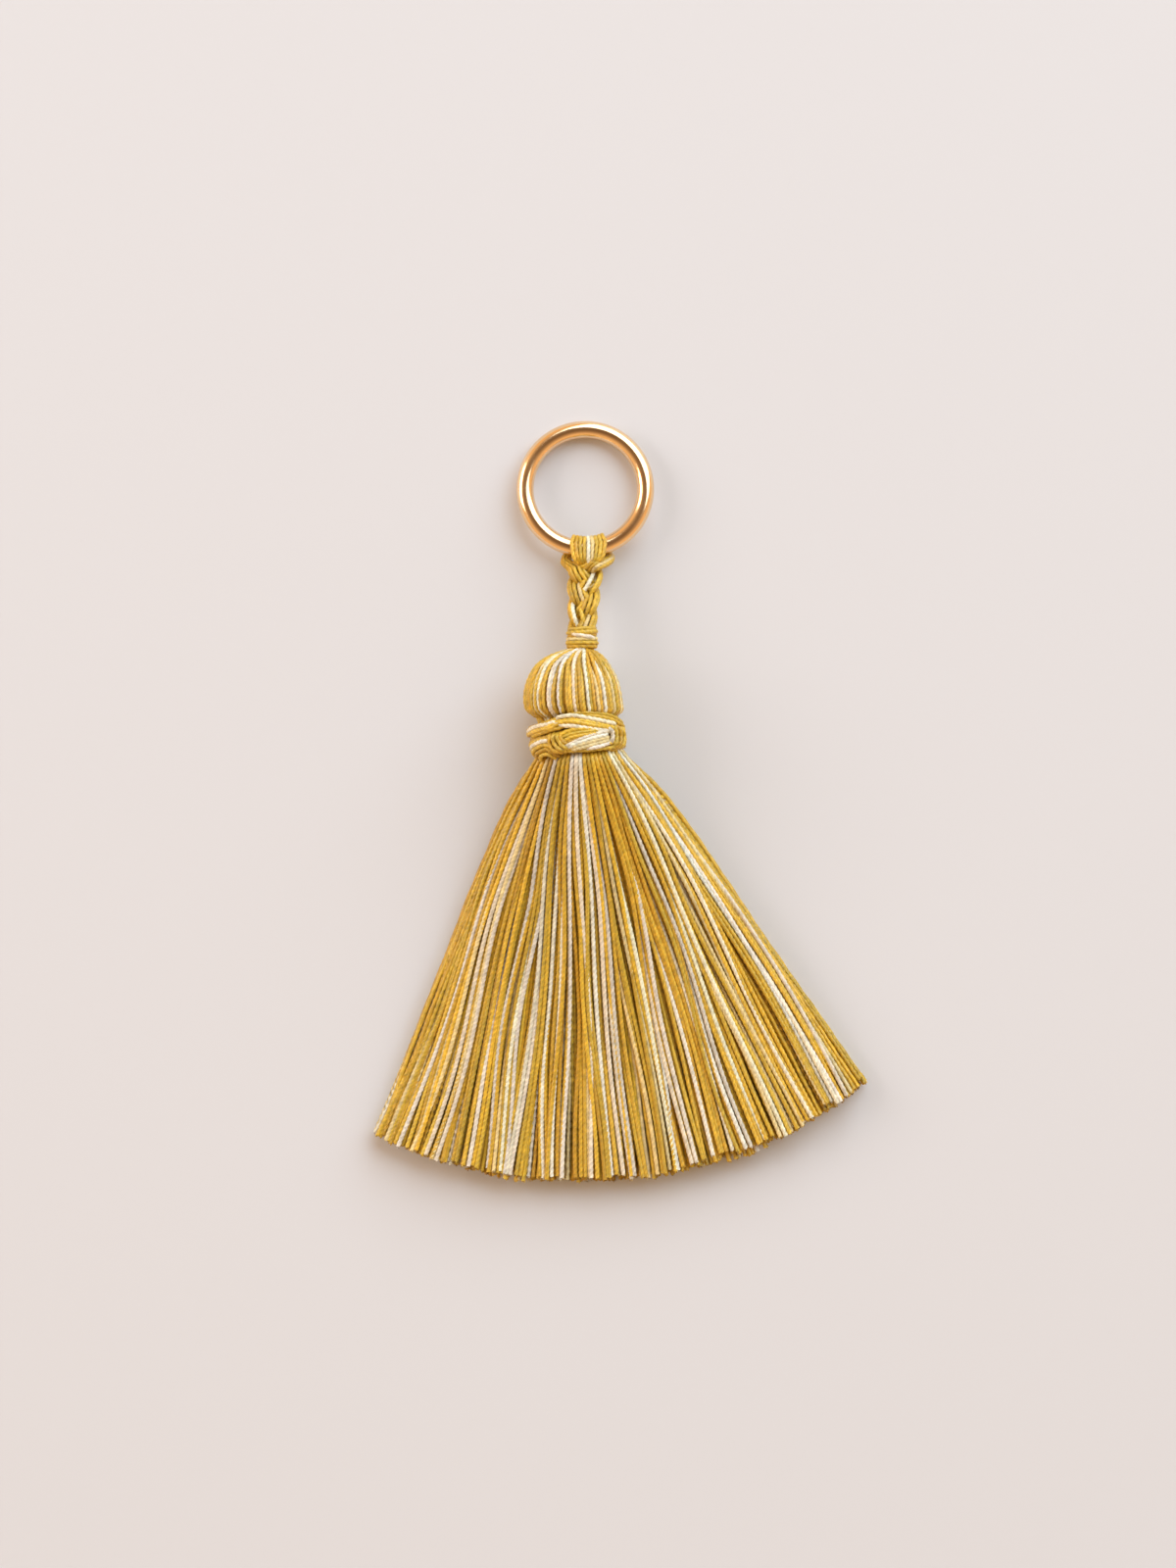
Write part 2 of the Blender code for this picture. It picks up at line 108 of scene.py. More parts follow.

# %% [markdown]
# The yarn material. Lustrous cotton shines along its plies, and the shader gives that
# shine. Its look could be a picture mapped along the yarn, but noise in the
# shader needs no picture: one noise varies the dye from place to place, and a finer
# one is the fibres. That one is read round the yarn and along it, and it is drawn out
# along, so its streaks wind with the plies. The twist itself is real geometry, made in
# the next step. On top of it the colour holds painted shade in the hollow between the
# plies and a faint painted highlight on their ridges, so the yarn looks deeper where it
# turns away. Four small helpers come first, because every node tree below is written
# with them.

# %% Yarn material
YARN_FINISH = {"Roughness": 0.31, "Sheen Weight": 0.22, "Sheen Roughness": 0.35,
               "Sheen Tint": (1.0, 0.86, 0.62, 1.0), "Specular IOR Level": 0.7}
DYE_PATCHES = 1300.0
DYE_SHADES = (0.75, 1.18)
# Painted shade in the hollow between the plies and a faint painted highlight on their ridges, as
# factors on the colour.
PAINTED_PLY_SHADE = (0.87, 1.06)
FIBRES_ROUND = 3.2
FIBRE_STRETCH = 300.0
FIBRE_SHADES = (0.84, 1.10)
FIBRE_BUMP = 0.6
FIBRE_HEIGHT = 0.05 * MM


def new_material(name, finish):
    """A new material, its node tree, and its one shader with the finish's values."""
    material = bpy.data.materials.new(name)
    material.use_nodes = True
    shader = material.node_tree.nodes["Principled BSDF"]
    for key, value in finish.items():
        shader.inputs[key].default_value = value
    return material, material.node_tree, shader


def add_node(tree, kind, place, inputs=None, **settings):
    """A node with its settings and input values, for trees read from left to right."""
    node = tree.nodes.new(kind)
    node.location = place
    for key, value in settings.items():
        setattr(node, key, value)
    for key, value in (inputs or {}).items():
        node.inputs[key].default_value = value
    return node


def add_range(tree, place, low, high, shades):
    """A node that turns the values from low to high into a range of shades."""
    return add_node(tree, "ShaderNodeMapRange", place, {
        "From Min": low, "From Max": high, "To Min": shades[0], "To Max": shades[1]})


def join(tree, *links):
    """Join nodes: each link is a node, its output, the next node and its input."""
    for source, output, target, entry in links:
        tree.links.new(source.outputs[output], target.inputs[entry])


def yarn_material(name):
    material, tree, shader = new_material(name, YARN_FINISH)
    colour = add_node(tree, "ShaderNodeAttribute", (-900, 200), attribute_name="yarn_colour")
    around = add_node(tree, "ShaderNodeAttribute", (-1700, 500), attribute_name="yarn_round")
    along = add_node(tree, "ShaderNodeAttribute", (-1700, 250), attribute_name="yarn_along")
    place = add_node(tree, "ShaderNodeTexCoord", (-1300, -100))
    dye = add_node(tree, "ShaderNodeTexNoise", (-1100, 0), {"Scale": DYE_PATCHES, "Detail": 3.0})
    spread = add_range(tree, (-900, 0), 0.3, 0.7, DYE_SHADES)
    split = add_node(tree, "ShaderNodeSeparateXYZ", (-1500, 500))
    # Painted shade and painted highlight: the colour is darkest where the profile's short side
    # faces out, and a little lighter on its long side.
    painted_shade_mask = add_node(tree, "ShaderNodeMath", (-1100, 500), operation="ABSOLUTE")
    painted_groove_shade = add_range(tree, (-900, 500), 0.5, 1.0, PAINTED_PLY_SHADE)
    stretch = add_node(tree, "ShaderNodeMath", (-1500, 250), {1: FIBRE_STRETCH},
                       operation="MULTIPLY")
    on_yarn = add_node(tree, "ShaderNodeCombineXYZ", (-1300, 300))
    fibre = add_node(tree, "ShaderNodeTexNoise", (-1100, -300),
                     {"Scale": FIBRES_ROUND, "Detail": 2.0})
    streak = add_range(tree, (-900, -300), 0.35, 0.65, FIBRE_SHADES)
    fine = add_node(tree, "ShaderNodeMath", (-750, -100), operation="MULTIPLY")
    # Dye patches and fibre streaks, times the painted shade of the plies.
    depth = add_node(tree, "ShaderNodeMath", (-750, 100), operation="MULTIPLY")
    shade = add_node(tree, "ShaderNodeMix", (-600, 200), data_type="RGBA", blend_type="MULTIPLY")
    shade.inputs["Factor"].default_value = 1.0
    bump = add_node(tree, "ShaderNodeBump", (-600, -300),
                    {"Strength": FIBRE_BUMP, "Distance": FIBRE_HEIGHT})
    join(tree,
         (place, "Object", dye, "Vector"),
         (dye, "Fac", spread, "Value"),
         (around, "Vector", split, "Vector"),
         (split, "X", painted_shade_mask, 0),
         (painted_shade_mask, "Value", painted_groove_shade, "Value"),
         (along, "Fac", stretch, 0),
         (split, "X", on_yarn, "X"),
         (split, "Y", on_yarn, "Y"),
         (stretch, "Value", on_yarn, "Z"),
         (on_yarn, "Vector", fibre, "Vector"),
         (fibre, "Fac", streak, "Value"),
         (spread, "Result", fine, 0),
         (streak, "Result", fine, 1),
         (fine, "Value", depth, 0),
         (painted_groove_shade, "Result", depth, 1),
         (colour, "Color", shade, "A"),
         (depth, "Value", shade, "B"),
         (shade, "Result", shader, "Base Color"),
         (fibre, "Fac", bump, "Height"),
         (bump, "Normal", shader, "Normal"))
    return material


YARN = yarn_material("twisted_yarn")
print("material:", YARN.name)

# %% [markdown]
# A yarn is two plies twisted round each other. Geometry Nodes can sweep one
# profile along hundreds of paths at once, so the tree below does that for every
# yarn here: an oval profile that turns as it travels gives the two plies' ridges.
# The tree also keeps each point's place round its yarn and along it, for the material.
# Its inputs are the spacing of the points, the length of one full turn, the
# profile's sides and how oval it is. The paths come in as a mesh of bare edges.

# %% The yarn tree
START_SPREAD = 0.1
TREE_INPUTS = {"Paths": "NodeSocketGeometry", "Spacing": "NodeSocketFloat",
               "Turn Length": "NodeSocketFloat", "Sides": "NodeSocketInt",
               "Oval": "NodeSocketFloat", "Material": "NodeSocketMaterial"}


def yarn_tree():
    tree = bpy.data.node_groups.new("yarn_along_paths", "GeometryNodeTree")
    sockets = {name: tree.interface.new_socket(name=name, in_out="INPUT", socket_type=kind)
               for name, kind in TREE_INPUTS.items()}
    tree.interface.new_socket(name="Yarns", in_out="OUTPUT", socket_type="NodeSocketGeometry")
    given = add_node(tree, "NodeGroupInput", (-1400, 0))
    to_curve = add_node(tree, "GeometryNodeMeshToCurve", (-1100, 200))
    smooth = add_node(tree, "GeometryNodeCurveSplineType", (-900, 200), spline_type="CATMULL_ROM")
    resample = add_node(tree, "GeometryNodeResampleCurve", (-700, 200), mode="LENGTH")
    length = add_node(tree, "GeometryNodeSplineParameter", (-1100, -100))
    turns = add_node(tree, "ShaderNodeMath", (-900, -100), operation="DIVIDE")
    angle = add_node(tree, "ShaderNodeMath", (-700, -100), {1: FULL_TURN},
                     operation="MULTIPLY_ADD")
    phase = add_node(tree, "GeometryNodeInputNamedAttribute", (-900, -300), {"Name": "phase"},
                     data_type="FLOAT")
    tilt = add_node(tree, "GeometryNodeSetCurveTilt", (-500, 200))
    circle = add_node(tree, "GeometryNodeCurvePrimitiveCircle", (-700, -500), {"Radius": 1.0})
    place = add_node(tree, "GeometryNodeInputPosition", (-700, -650))
    keep_round = add_node(tree, "GeometryNodeStoreNamedAttribute", (-500, -500),
                          {"Name": "yarn_round"}, data_type="FLOAT_VECTOR", domain="POINT")
    start = add_node(tree, "ShaderNodeMath", (-700, 0), {1: START_SPREAD},
                     operation="MULTIPLY_ADD")
    keep_along = add_node(tree, "GeometryNodeStoreNamedAttribute", (-400, 100),
                          {"Name": "yarn_along"}, data_type="FLOAT", domain="POINT")
    oval = add_node(tree, "ShaderNodeCombineXYZ", (-700, -800), {"X": 1.0, "Z": 1.0})
    flatten = add_node(tree, "GeometryNodeTransform", (-300, -600))
    thick = add_node(tree, "GeometryNodeInputNamedAttribute", (-500, -200),
                     {"Name": "thickness"}, data_type="FLOAT")
    sweep = add_node(tree, "GeometryNodeCurveToMesh", (-250, 200), {"Fill Caps": True})
    shade = add_node(tree, "GeometryNodeSetShadeSmooth", (-50, 200))
    realize = add_node(tree, "GeometryNodeRealizeInstances", (150, 200))
    finish = add_node(tree, "GeometryNodeSetMaterial", (350, 200))
    result = add_node(tree, "NodeGroupOutput", (550, 200))
    join(tree,
         (given, "Paths", to_curve, "Mesh"),
         (to_curve, "Curve", smooth, "Curve"),
         (smooth, "Curve", resample, "Curve"),
         (given, "Spacing", resample, "Length"),
         (length, "Length", turns, 0),
         (given, "Turn Length", turns, 1),
         (turns, "Value", angle, 0),
         (phase, "Attribute", angle, 2),
         (resample, "Curve", tilt, "Curve"),
         (angle, "Value", tilt, "Tilt"),
         (phase, "Attribute", start, 0),
         (length, "Length", start, 2),
         (tilt, "Curve", keep_along, "Geometry"),
         (start, "Value", keep_along, "Value"),
         (given, "Sides", circle, "Resolution"),
         (circle, "Curve", keep_round, "Geometry"),
         (place, "Position", keep_round, "Value"),
         (given, "Oval", oval, "Y"),
         (keep_round, "Geometry", flatten, "Geometry"),
         (oval, "Vector", flatten, "Scale"),
         (keep_along, "Geometry", sweep, "Curve"),
         (flatten, "Geometry", sweep, "Profile Curve"),
         (thick, "Attribute", sweep, "Scale"),
         (sweep, "Mesh", shade, "Geometry"),
         (shade, "Geometry", realize, "Geometry"),
         (realize, "Geometry", finish, "Geometry"),
         (given, "Material", finish, "Material"),
         (finish, "Geometry", result, "Yarns"))
    return tree, {name: socket.identifier for name, socket in sockets.items()}


YARN_TREE, YARN_INPUTS = yarn_tree()
print("inputs of the yarn tree:", ", ".join(YARN_INPUTS))

# %% [markdown]
# A path is a list of points with a colour, a thickness and a starting turn. The
# helper below writes many paths into one mesh of edges, runs the tree on it, and
# keeps the result as a plain mesh, because a finished piece has no live modifier.
# No point lies lower than a yarn's middle does when the yarn rests on the surface.

# %% From paths to yarns
YARN_THICKNESS = 0.70
LYING_HEIGHT = 0.47
FINE_SPACING = 0.2
PLY_TURN = 1.6
UNEVEN_TWIST = 1.4


class Path:
    """One yarn: its points in millimetres, colour, thickness and starting turn."""

    def __init__(self, points, colour, draw, thickness=YARN_THICKNESS, closed=False):
        self.points = points
        self.colour = colour
        self.thickness = thickness
        self.phase = draw.uniform(0.0, FULL_TURN)
        self.uneven = UNEVEN_TWIST * math.sin(5.0 * self.phase)
        self.closed = closed


def set_attribute(mesh, name, kind, key, values):
    """Store one value for each point of a mesh under a name."""
    mesh.attributes.new(name, kind, "POINT").data.foreach_set(key, values)


def path_mesh(name, paths):
    """A mesh of bare edges with the yarns' attributes on its points."""
    places = []
    edges = []
    colours = []
    phases = []
    radii = []
    for path in paths:
        first = len(places)
        count = len(path.points)
        places += [metres(point) for point in path.points]
        edges += [(first + i, first + i + 1) for i in range(count - 1)]
        if path.closed:
            edges.append((first + count - 1, first))
        colours += list(path.colour) * count
        phases += [path.phase + path.uneven * i for i in range(count)]
        radii += [path.thickness / 2.0 * MM] * count
    mesh = bpy.data.meshes.new(name)
    mesh.from_pydata(places, edges, [])
    set_attribute(mesh, "yarn_colour", "FLOAT_COLOR", "color", colours)
    set_attribute(mesh, "phase", "FLOAT", "value", phases)
    set_attribute(mesh, "thickness", "FLOAT", "value", radii)
    return mesh


def add_object(name, data):
    """A new object in the scene, at the origin."""
    thing = bpy.data.objects.new(name, data)
    bpy.context.collection.objects.link(thing)
    return thing


def grow_yarns(name, paths, spacing=FINE_SPACING, sides=6, oval=0.84, turn=PLY_TURN):
    """Run the yarn tree on paths and keep the result as a plain mesh object."""
    guide = add_object(name + "_paths", path_mesh(name + "_paths", paths))
    sweep = guide.modifiers.new("yarns", "NODES")
    sweep.node_group = YARN_TREE
    values = {"Spacing": spacing * MM, "Turn Length": turn * MM, "Sides": sides,
              "Oval": oval, "Material": YARN}
    for key, value in values.items():
        sweep[YARN_INPUTS[key]] = value
    evaluated = guide.evaluated_get(bpy.context.evaluated_depsgraph_get())
    mesh = bpy.data.meshes.new_from_object(evaluated)
    mesh.name = name
    bpy.data.objects.remove(guide, do_unlink=True)
    triangles = sum(len(face.vertices) - 2 for face in mesh.polygons)
    print(name, "has", len(paths), "yarns and", triangles, "triangles")
    return add_object(name, mesh)


def dress(piece, slot, *nodes):
    """Let a piece ride on the tassel and hide the solid parts it stands for; slot is not used."""
    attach(piece, "root")
    if nodes:
        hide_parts(*nodes)
    return piece


print("yarn thickness in millimetres:", YARN_THICKNESS)

# %% [markdown]
# The camera looks straight down, as in the photograph, from far enough away that
# the tassel's few millimetres of height hardly spread. The photograph is 1200
# pixels wide and 1600 high, and the ring's 20 mm are 140 of its pixels, so one
# pixel is a seventh of a millimetre. That gives the width that the lens must see.

# %% Camera
PHOTO_PIXELS = (1200.0, 1600.0)
ORIGIN_PIXEL = (635.0, 813.5)
RING_PIXELS = 140.0
RING_OUTER = 20.0
PIXEL = RING_OUTER / RING_PIXELS
PHOTO_MIDDLE = ((PHOTO_PIXELS[0] / 2.0 - ORIGIN_PIXEL[0]) * PIXEL,
                (ORIGIN_PIXEL[1] - PHOTO_PIXELS[1] / 2.0) * PIXEL)
CAMERA_DISTANCE = 700.0
camera_data = bpy.data.cameras.new("camera")
camera_data.lens = camera_data.sensor_width * CAMERA_DISTANCE / (PHOTO_PIXELS[1] * PIXEL)
camera_data.clip_start = 0.01
camera = add_object("camera", camera_data)
camera.location = metres((*PHOTO_MIDDLE, CAMERA_DISTANCE))
bpy.context.scene.camera = camera
print("lens in millimetres:", round(camera_data.lens, 1))

# %% [markdown]
# The skirt's form. Its yarns leave the neck as a round bundle and settle into a
# flat fan. One function gives the place of any point in it: across the fan, up
# through its thickness and down its length. The function follows the one that the
# solid model is built on, so the yarns fill the same space as the solids they
# replace. Only the cut edge differs, by about a millimetre: it is trimmed flatter in
# its middle and reaches a little further at the left.

# %% The skirt's form
NECK_X, NECK_Y = -5.7, 5.3
NECK_HALF_WIDTH = 7.2
BUNDLE_HEIGHT = 6.7
FAN_X, FAN_Y = -6.14, 6.5
FAN_LEFT = math.radians(-28.6)
FAN_RIGHT = math.radians(41.0)
FAN_LENGTH_LEFT = 62.4
FAN_LENGTH_RIGHT = 63.0
FAN_MIDDLE_SHORTER = 1.0
FAN_BULGE = 8.5
SKIRT_NECK_HEIGHT = 13.0
SKIRT_END_HEIGHT = 4.6
SKIRT_EDGE_HEIGHT = 6.3
EDGE_INSET = 0.985
SETTLING = 2.2
EDGE_SETTLING = 6
ROUND_SECTION = 2.0
FLAT_SECTION = 4.5


def skirt_point(across, up, down):
    """A place in the skirt: across 0 to 1, up 0 to 1, and down 0 at the neck to 1."""
    side = 2.0 * across - 1.0
    angle = mix(FAN_LEFT, FAN_RIGHT, across)
    length = mix(FAN_LENGTH_LEFT, FAN_LENGTH_RIGHT, across)
    length -= FAN_MIDDLE_SHORTER * (1.0 - side * side) ** 2
    end_x = FAN_X + length * math.sin(angle)
    end_y = FAN_Y - length * math.cos(angle)
    bulge = FAN_BULGE * side * max(0.0, down) * max(0.0, 1.0 - down) ** 3
    x = mix(NECK_X + NECK_HALF_WIDTH * side, end_x, down) + bulge
    y = mix(NECK_Y, end_y, down)
    left = max(0.0, 1.0 - down)
    top = mix(SKIRT_END_HEIGHT, SKIRT_NECK_HEIGHT, min(1.0, left) ** SETTLING)
    edge = SKIRT_EDGE_HEIGHT * min(1.0, left) ** EDGE_SETTLING
    power = mix(ROUND_SECTION, FLAT_SECTION, min(1.0, max(0.0, down)))
    fullness = (1.0 - min(1.0, EDGE_INSET * abs(side)) ** power) ** (1.0 / power)
    low = edge * (1.0 - fullness)
    high = edge + (top - edge) * fullness
    return Vector((x, y, mix(low, high, up)))


def inward(across, up, down):
    """The direction into the bundle from its upper or lower side."""
    step = 0.01
    before = skirt_point(max(0.0, across - step), up, down)
    after = skirt_point(min(1.0, across + step), up, down)
    along = after - before
    into = Vector((along.z, 0.0, -along.x)).normalized()
    return into if up > 0.5 else -into


print("half way down the left edge:", [round(value, 1) for value in skirt_point(0.0, 0.5, 0.5)])

# %% [markdown]
# Where the pale yarns lie. They fall in ones and twos between the gold, and they are
# what the eye reads first, so most of their places are listed one by one, each as a share of
# the fan's width from left to right. The dyes of all other upper yarns are drawn by
# chance, most of them gold.

# %% Pale yarns of the skirt
UPPER_YARNS = 118
PALE_YARNS = {
    "cream": (0.055, 0.118, 0.136, 0.188, 0.212, 0.246, 0.263, 0.284, 0.292, 0.350, 0.386,
              0.500, 0.517, 0.612, 0.634, 0.652, 0.676, 0.742, 0.750, 0.778, 0.812, 0.876,
              0.934, 0.945, 0.953, 0.984),
    "straw": (0.082, 0.418, 0.544, 0.840),
}
UPPER_DYES = {"gold": 0.60, "amber": 0.18, "straw": 0.13, "cream": 0.09}


def drawn_dye(shares, draw):
    """A dye drawn by chance, each with its share of the yarns."""
    return draw.choices(tuple(shares), tuple(shares.values()))[0]


def upper_dye(across, draw):
    """The dye of an upper yarn at a place across the fan."""
    for dye, places in PALE_YARNS.items():
        if any(abs(across - place) < 0.5 / UPPER_YARNS for place in places):
            return dye
    return drawn_dye(UPPER_DYES, draw)


print("pale upper yarns:", sum(map(len, PALE_YARNS.values())), "of", UPPER_YARNS)

# %% [markdown]
# How the yarns lie. Neighbours cling together in locks that drift and leave dark
# gaps towards the cut edge, and a few stray yarns cross over. Near the neck there
# is room for only one yarn in five at the surface. The others start deeper in the
# bundle and come up where the fan has widened enough, which is how a real skirt
# fills out. All of it is a few smooth shifts added to the place from the function.

# %% The way of one skirt yarn
STATIONS = 24
NECK_DEPTHS = 5
DEPTH_STEP = 0.55
HIDDEN_LENGTH = 0.045
HIDDEN_NARROWING = 0.22
HIDDEN_RISE = 1.8
LOCK_DRIFT = 0.006
LOCK_PULL = (0.02, 0.42)
LOCK_WAVE = (0.2, 0.6)
LOCK_REACH = 0.22
LOCK_LIFT = (-0.15, 0.3)
STRAY_SHARE = 0.18
STRAY_DRIFT, CALM_DRIFT = 0.012, 0.002
STRAY_LIFT = 22.0
CUT_UNEVENNESS = 0.13


def make_locks(draw, yarns_each, loose):
    """Locks across the fan: edges, and how each drifts and draws together."""
    locks = []
    edge = 0.0
    while edge < 1.0:
        width = draw.uniform(*yarns_each) / UPPER_YARNS
        locks.append({
            "start": edge, "end": edge + width, "drift": draw.gauss(0.0, LOCK_DRIFT) * loose,
            "pull": draw.uniform(*LOCK_PULL) * loose, "wave": draw.uniform(*LOCK_WAVE) * loose,
            "phase": draw.uniform(0.0, FULL_TURN), "waves": draw.uniform(0.8, 1.5),
            "reach": draw.gauss(0.0, LOCK_REACH), "lift": draw.uniform(*LOCK_LIFT)})
        edge += width
    return locks


def lock_of(locks, across):
    """The lock that a place across the fan belongs to."""
    for lock in locks:
        if across < lock["end"]:
            return lock
    return locks[-1]


def skirt_yarn(across, up, locks, draw, depth_level, reach, lift):
    """Points of one yarn of the skirt, from under the binding to its cut end."""
    lock = lock_of(locks, across)
    middle = (lock["start"] + min(1.0, lock["end"])) / 2.0
    stray = draw.gauss(0.0, STRAY_DRIFT if draw.random() < STRAY_SHARE else CALM_DRIFT)
    wobble = draw.uniform(0.04, 0.2)
    turn = draw.uniform(0.0, FULL_TURN)
    waves = draw.uniform(1.0, 2.2)
    emerge = 0.04 + 0.2 * depth_level
    uneven = draw.gauss(0.0, CUT_UNEVENNESS)
    end = 1.0 + (reach + lock["reach"] + uneven) / FAN_LENGTH_LEFT
    points = []
    for i in range(STATIONS):
        down = mix(-HIDDEN_LENGTH, end, i / (STATIONS - 1))
        free = max(0.0, down)
        pull = lock["pull"] * free ** 1.6
        place = mix(across, middle, pull) + (lock["drift"] + stray) * free ** 1.4
        place = min(max(place, 0.0), 1.0)
        point = skirt_point(place, up, free)
        depth = YARN_THICKNESS / 2.0
        depth += DEPTH_STEP * depth_level * max(0.0, 1.0 - free / emerge)
        depth -= (lift + lock["lift"] + abs(stray) * STRAY_LIFT) * min(1.0, 2.5 * free)
        point += inward(place, up, free) * depth
        wave = lock["wave"] * math.sin(lock["waves"] * FULL_TURN * free + lock["phase"])
        wave += wobble * math.sin(waves * FULL_TURN * free + turn)
        point.x += wave * min(1.0, 3.0 * free)
        point.z += 0.6 * wobble * math.sin(FULL_TURN * free * 1.3 + turn) * free
        if down < 0.0:
            share = -down / HIDDEN_LENGTH
            narrow = 1.0 - HIDDEN_NARROWING * share
            point.x = NECK_X + (point.x - NECK_X) * narrow
            point.z = BUNDLE_HEIGHT + (point.z - BUNDLE_HEIGHT) * narrow
            point.y += HIDDEN_RISE * share
        point.z = max(point.z, LYING_HEIGHT)
        points.append(point)
    return points


print("points on each skirt yarn:", STATIONS)

# %% [markdown]
# The upper layer is what the camera sees, so its yarns get their full twist, with a
# point every fifth of a millimetre. That is many triangles, and so the layer is made
# in three parts from left to right, each within the size that a mesh should keep.

# %% Upper layer of the skirt
PALE_LIFT = 0.12
SKIRT_SPACING = FINE_SPACING
UPPER_PARTS = ("left", "middle", "right")
draw = random.Random(111)
upper_locks = make_locks(draw, (2.2, 7.5), 1.0)
upper_paths = []
for i in range(UPPER_YARNS):
    across = (i + 0.5) / UPPER_YARNS
    dye = upper_dye(across, draw)
    lift = draw.uniform(-0.1, 0.12) + (PALE_LIFT if dye == "cream" else 0.0)
    points = skirt_yarn(across, 1.0, upper_locks, draw, (i * 2) % NECK_DEPTHS, 0.0, lift)
    upper_paths.append(Path(points, dyed(dye, draw), draw))
upper_pieces = []
for number, part in enumerate(UPPER_PARTS):
    first = UPPER_YARNS * number // len(UPPER_PARTS)
    last = UPPER_YARNS * (number + 1) // len(UPPER_PARTS)
    upper_pieces.append(grow_yarns("skirt_upper_" + part, upper_paths[first:last], SKIRT_SPACING))

# %% [markdown]
# Below it lie the inner layers and the one that rests on the surface. They show in
# the gaps, at the cut edge and from underneath, so they need their colour and
# outline but not every turn of their plies. They are a little longer than the upper
# layer, because they take the straighter way to the cut edge.

# %% Inner and lower layers of the skirt
INNER_LAYERS = (
    {"name": "skirt_inner_upper", "up": 0.88, "yarns": 118, "reach": 0.15, "thickness": 0.74},
    {"name": "skirt_inner_middle", "up": 0.68, "yarns": 110, "reach": 0.3, "thickness": 0.86},
    {"name": "skirt_inner_lower", "up": 0.38, "yarns": 100, "reach": 0.35, "thickness": 0.86},
    {"name": "skirt_underside", "up": 0.0, "yarns": 112, "reach": 0.3, "thickness": 0.7},
)
INNER_SPACING = 1.1
INNER_TURN = 9.0
INNER_DYES = {"gold": 0.58, "amber": 0.26, "straw": 0.1, "cream": 0.06}
inner_pieces = []
inner_paths = []
for layer in INNER_LAYERS:
    locks = make_locks(draw, (3.0, 8.0), 0.35)
    paths = []
    for i in range(layer["yarns"]):
        across = (i + draw.uniform(0.2, 0.8)) / layer["yarns"]
        dye = drawn_dye(INNER_DYES, draw)
        level = i % NECK_DEPTHS if layer["up"] == 0.0 else 1
        points = skirt_yarn(across, layer["up"], locks, draw, level, layer["reach"],
                            draw.uniform(-0.15, 0.15))
        paths.append(Path(points, dyed(dye, draw), draw, thickness=layer["thickness"]))
    inner_pieces.append(grow_yarns(layer["name"], paths, INNER_SPACING, sides=5, oval=0.9,
                                   turn=INNER_TURN))
    inner_paths += paths

# %% [markdown]
# A cut yarn opens at its end: the plies spring apart into a little brush. Each brush
# here is a few thin, short fibres that fan out from the yarn's last point. They are
# yarns too, only much thinner, so the same tree makes them.

# %% Cut ends
FIBRES_EACH = 3
FIBRE_SPACING = 0.45
FIBRE_THICKNESS = (0.14, 0.24)
FIBRE_LENGTH = (0.08, 0.26)
FIBRE_SPREAD_SIDE, FIBRE_SPREAD_UP = 0.25, 0.2
FIBRE_BEND = 0.05
FIBRE_ROOT = 0.3
FIBRE_LOW = 0.1
BRUSH_RADIUS = 0.17
UP = Vector((0.0, 0.0, 1.0))
fibre_paths = []
for path in upper_paths + inner_paths:
    end = path.points[-1]
    ahead = (end - path.points[-2]).normalized()
    side = Vector((-ahead.y, ahead.x, 0.0))
    for _ in range(FIBRES_EACH):
        turn = draw.uniform(0.0, FULL_TURN)
        root = end + (side * math.cos(turn) + UP * math.sin(turn)) * BRUSH_RADIUS
        spread = side * draw.gauss(0.0, FIBRE_SPREAD_SIDE)
        spread += UP * draw.gauss(0.0, FIBRE_SPREAD_UP)
        tip = root + (ahead + spread) * draw.uniform(*FIBRE_LENGTH)
        middle = root.lerp(tip, 0.5) + side * draw.gauss(0.0, FIBRE_BEND)
        points = [root - ahead * FIBRE_ROOT, middle, tip]
        for point in points:
            point.z = max(point.z, FIBRE_LOW)
        thickness = draw.uniform(*FIBRE_THICKNESS)
        fibre_paths.append(Path(points, path.colour, draw, thickness=thickness))
cut_ends = grow_yarns("skirt_cut_ends", fibre_paths, FIBRE_SPACING, sides=3, oval=1.0)

# %% [markdown]
# The head. The yarns that hang as the skirt are folded over at the top, so on the
# head they run from the knot to the neck like the lines of longitude on a globe.
# Their way is read from a short profile: where along the tassel, how far the
# middle lies to the side, and the radius there. Near the top most yarns dive under
# their neighbours, as there is no room for all of them at the pole.

# %% The head's profile
HEAD_PROFILE = [{"along": along, "middle": middle, "radius": radius} for along, middle, radius in (
    (22.5, -5.9, 0.7), (21.7, -5.95, 1.0), (21.25, -6.1, 1.9), (20.7, -6.5, 3.3),
    (20.0, -6.9, 4.5), (18.9, -7.2, 5.6), (17.2, -7.25, 6.55), (15.3, -7.25, 7.1),
    (13.6, -7.15, 7.25), (12.6, -6.95, 7.1), (11.9, -6.85, 6.3), (11.0, -6.7, 5.7),
    (6.5, -6.3, 5.6))]
HEAD_YARNS = 80
HEAD_DEPTHS = (0, 2, 1, 3)
HEAD_SWAY = 1.3
HEAD_RADIUS = 7.0
POLE_RADIUS = 0.2
CROWDED_RADIUS, CROWDED_STEP = 4.4, 0.9
DIVE_STEP = 1.1
SIDE_ANGLE = 95.0
FRONT_DYES = {"gold": 0.70, "amber": 0.2, "straw": 0.1}
BACK_DYES = {"gold": 0.5, "amber": 0.2, "straw": 0.1, "cream": 0.2}
HEAD_PALE = {
    "cream": ((-43.5, 2.2), (-29.5, 5.0), (-18.5, 2.2), (-1.0, 2.2), (17.0, 2.3), (39.0, 2.3)),
    "straw": ((31.0, 2.3), (60.0, 2.3), (80.0, 5.4)),
}


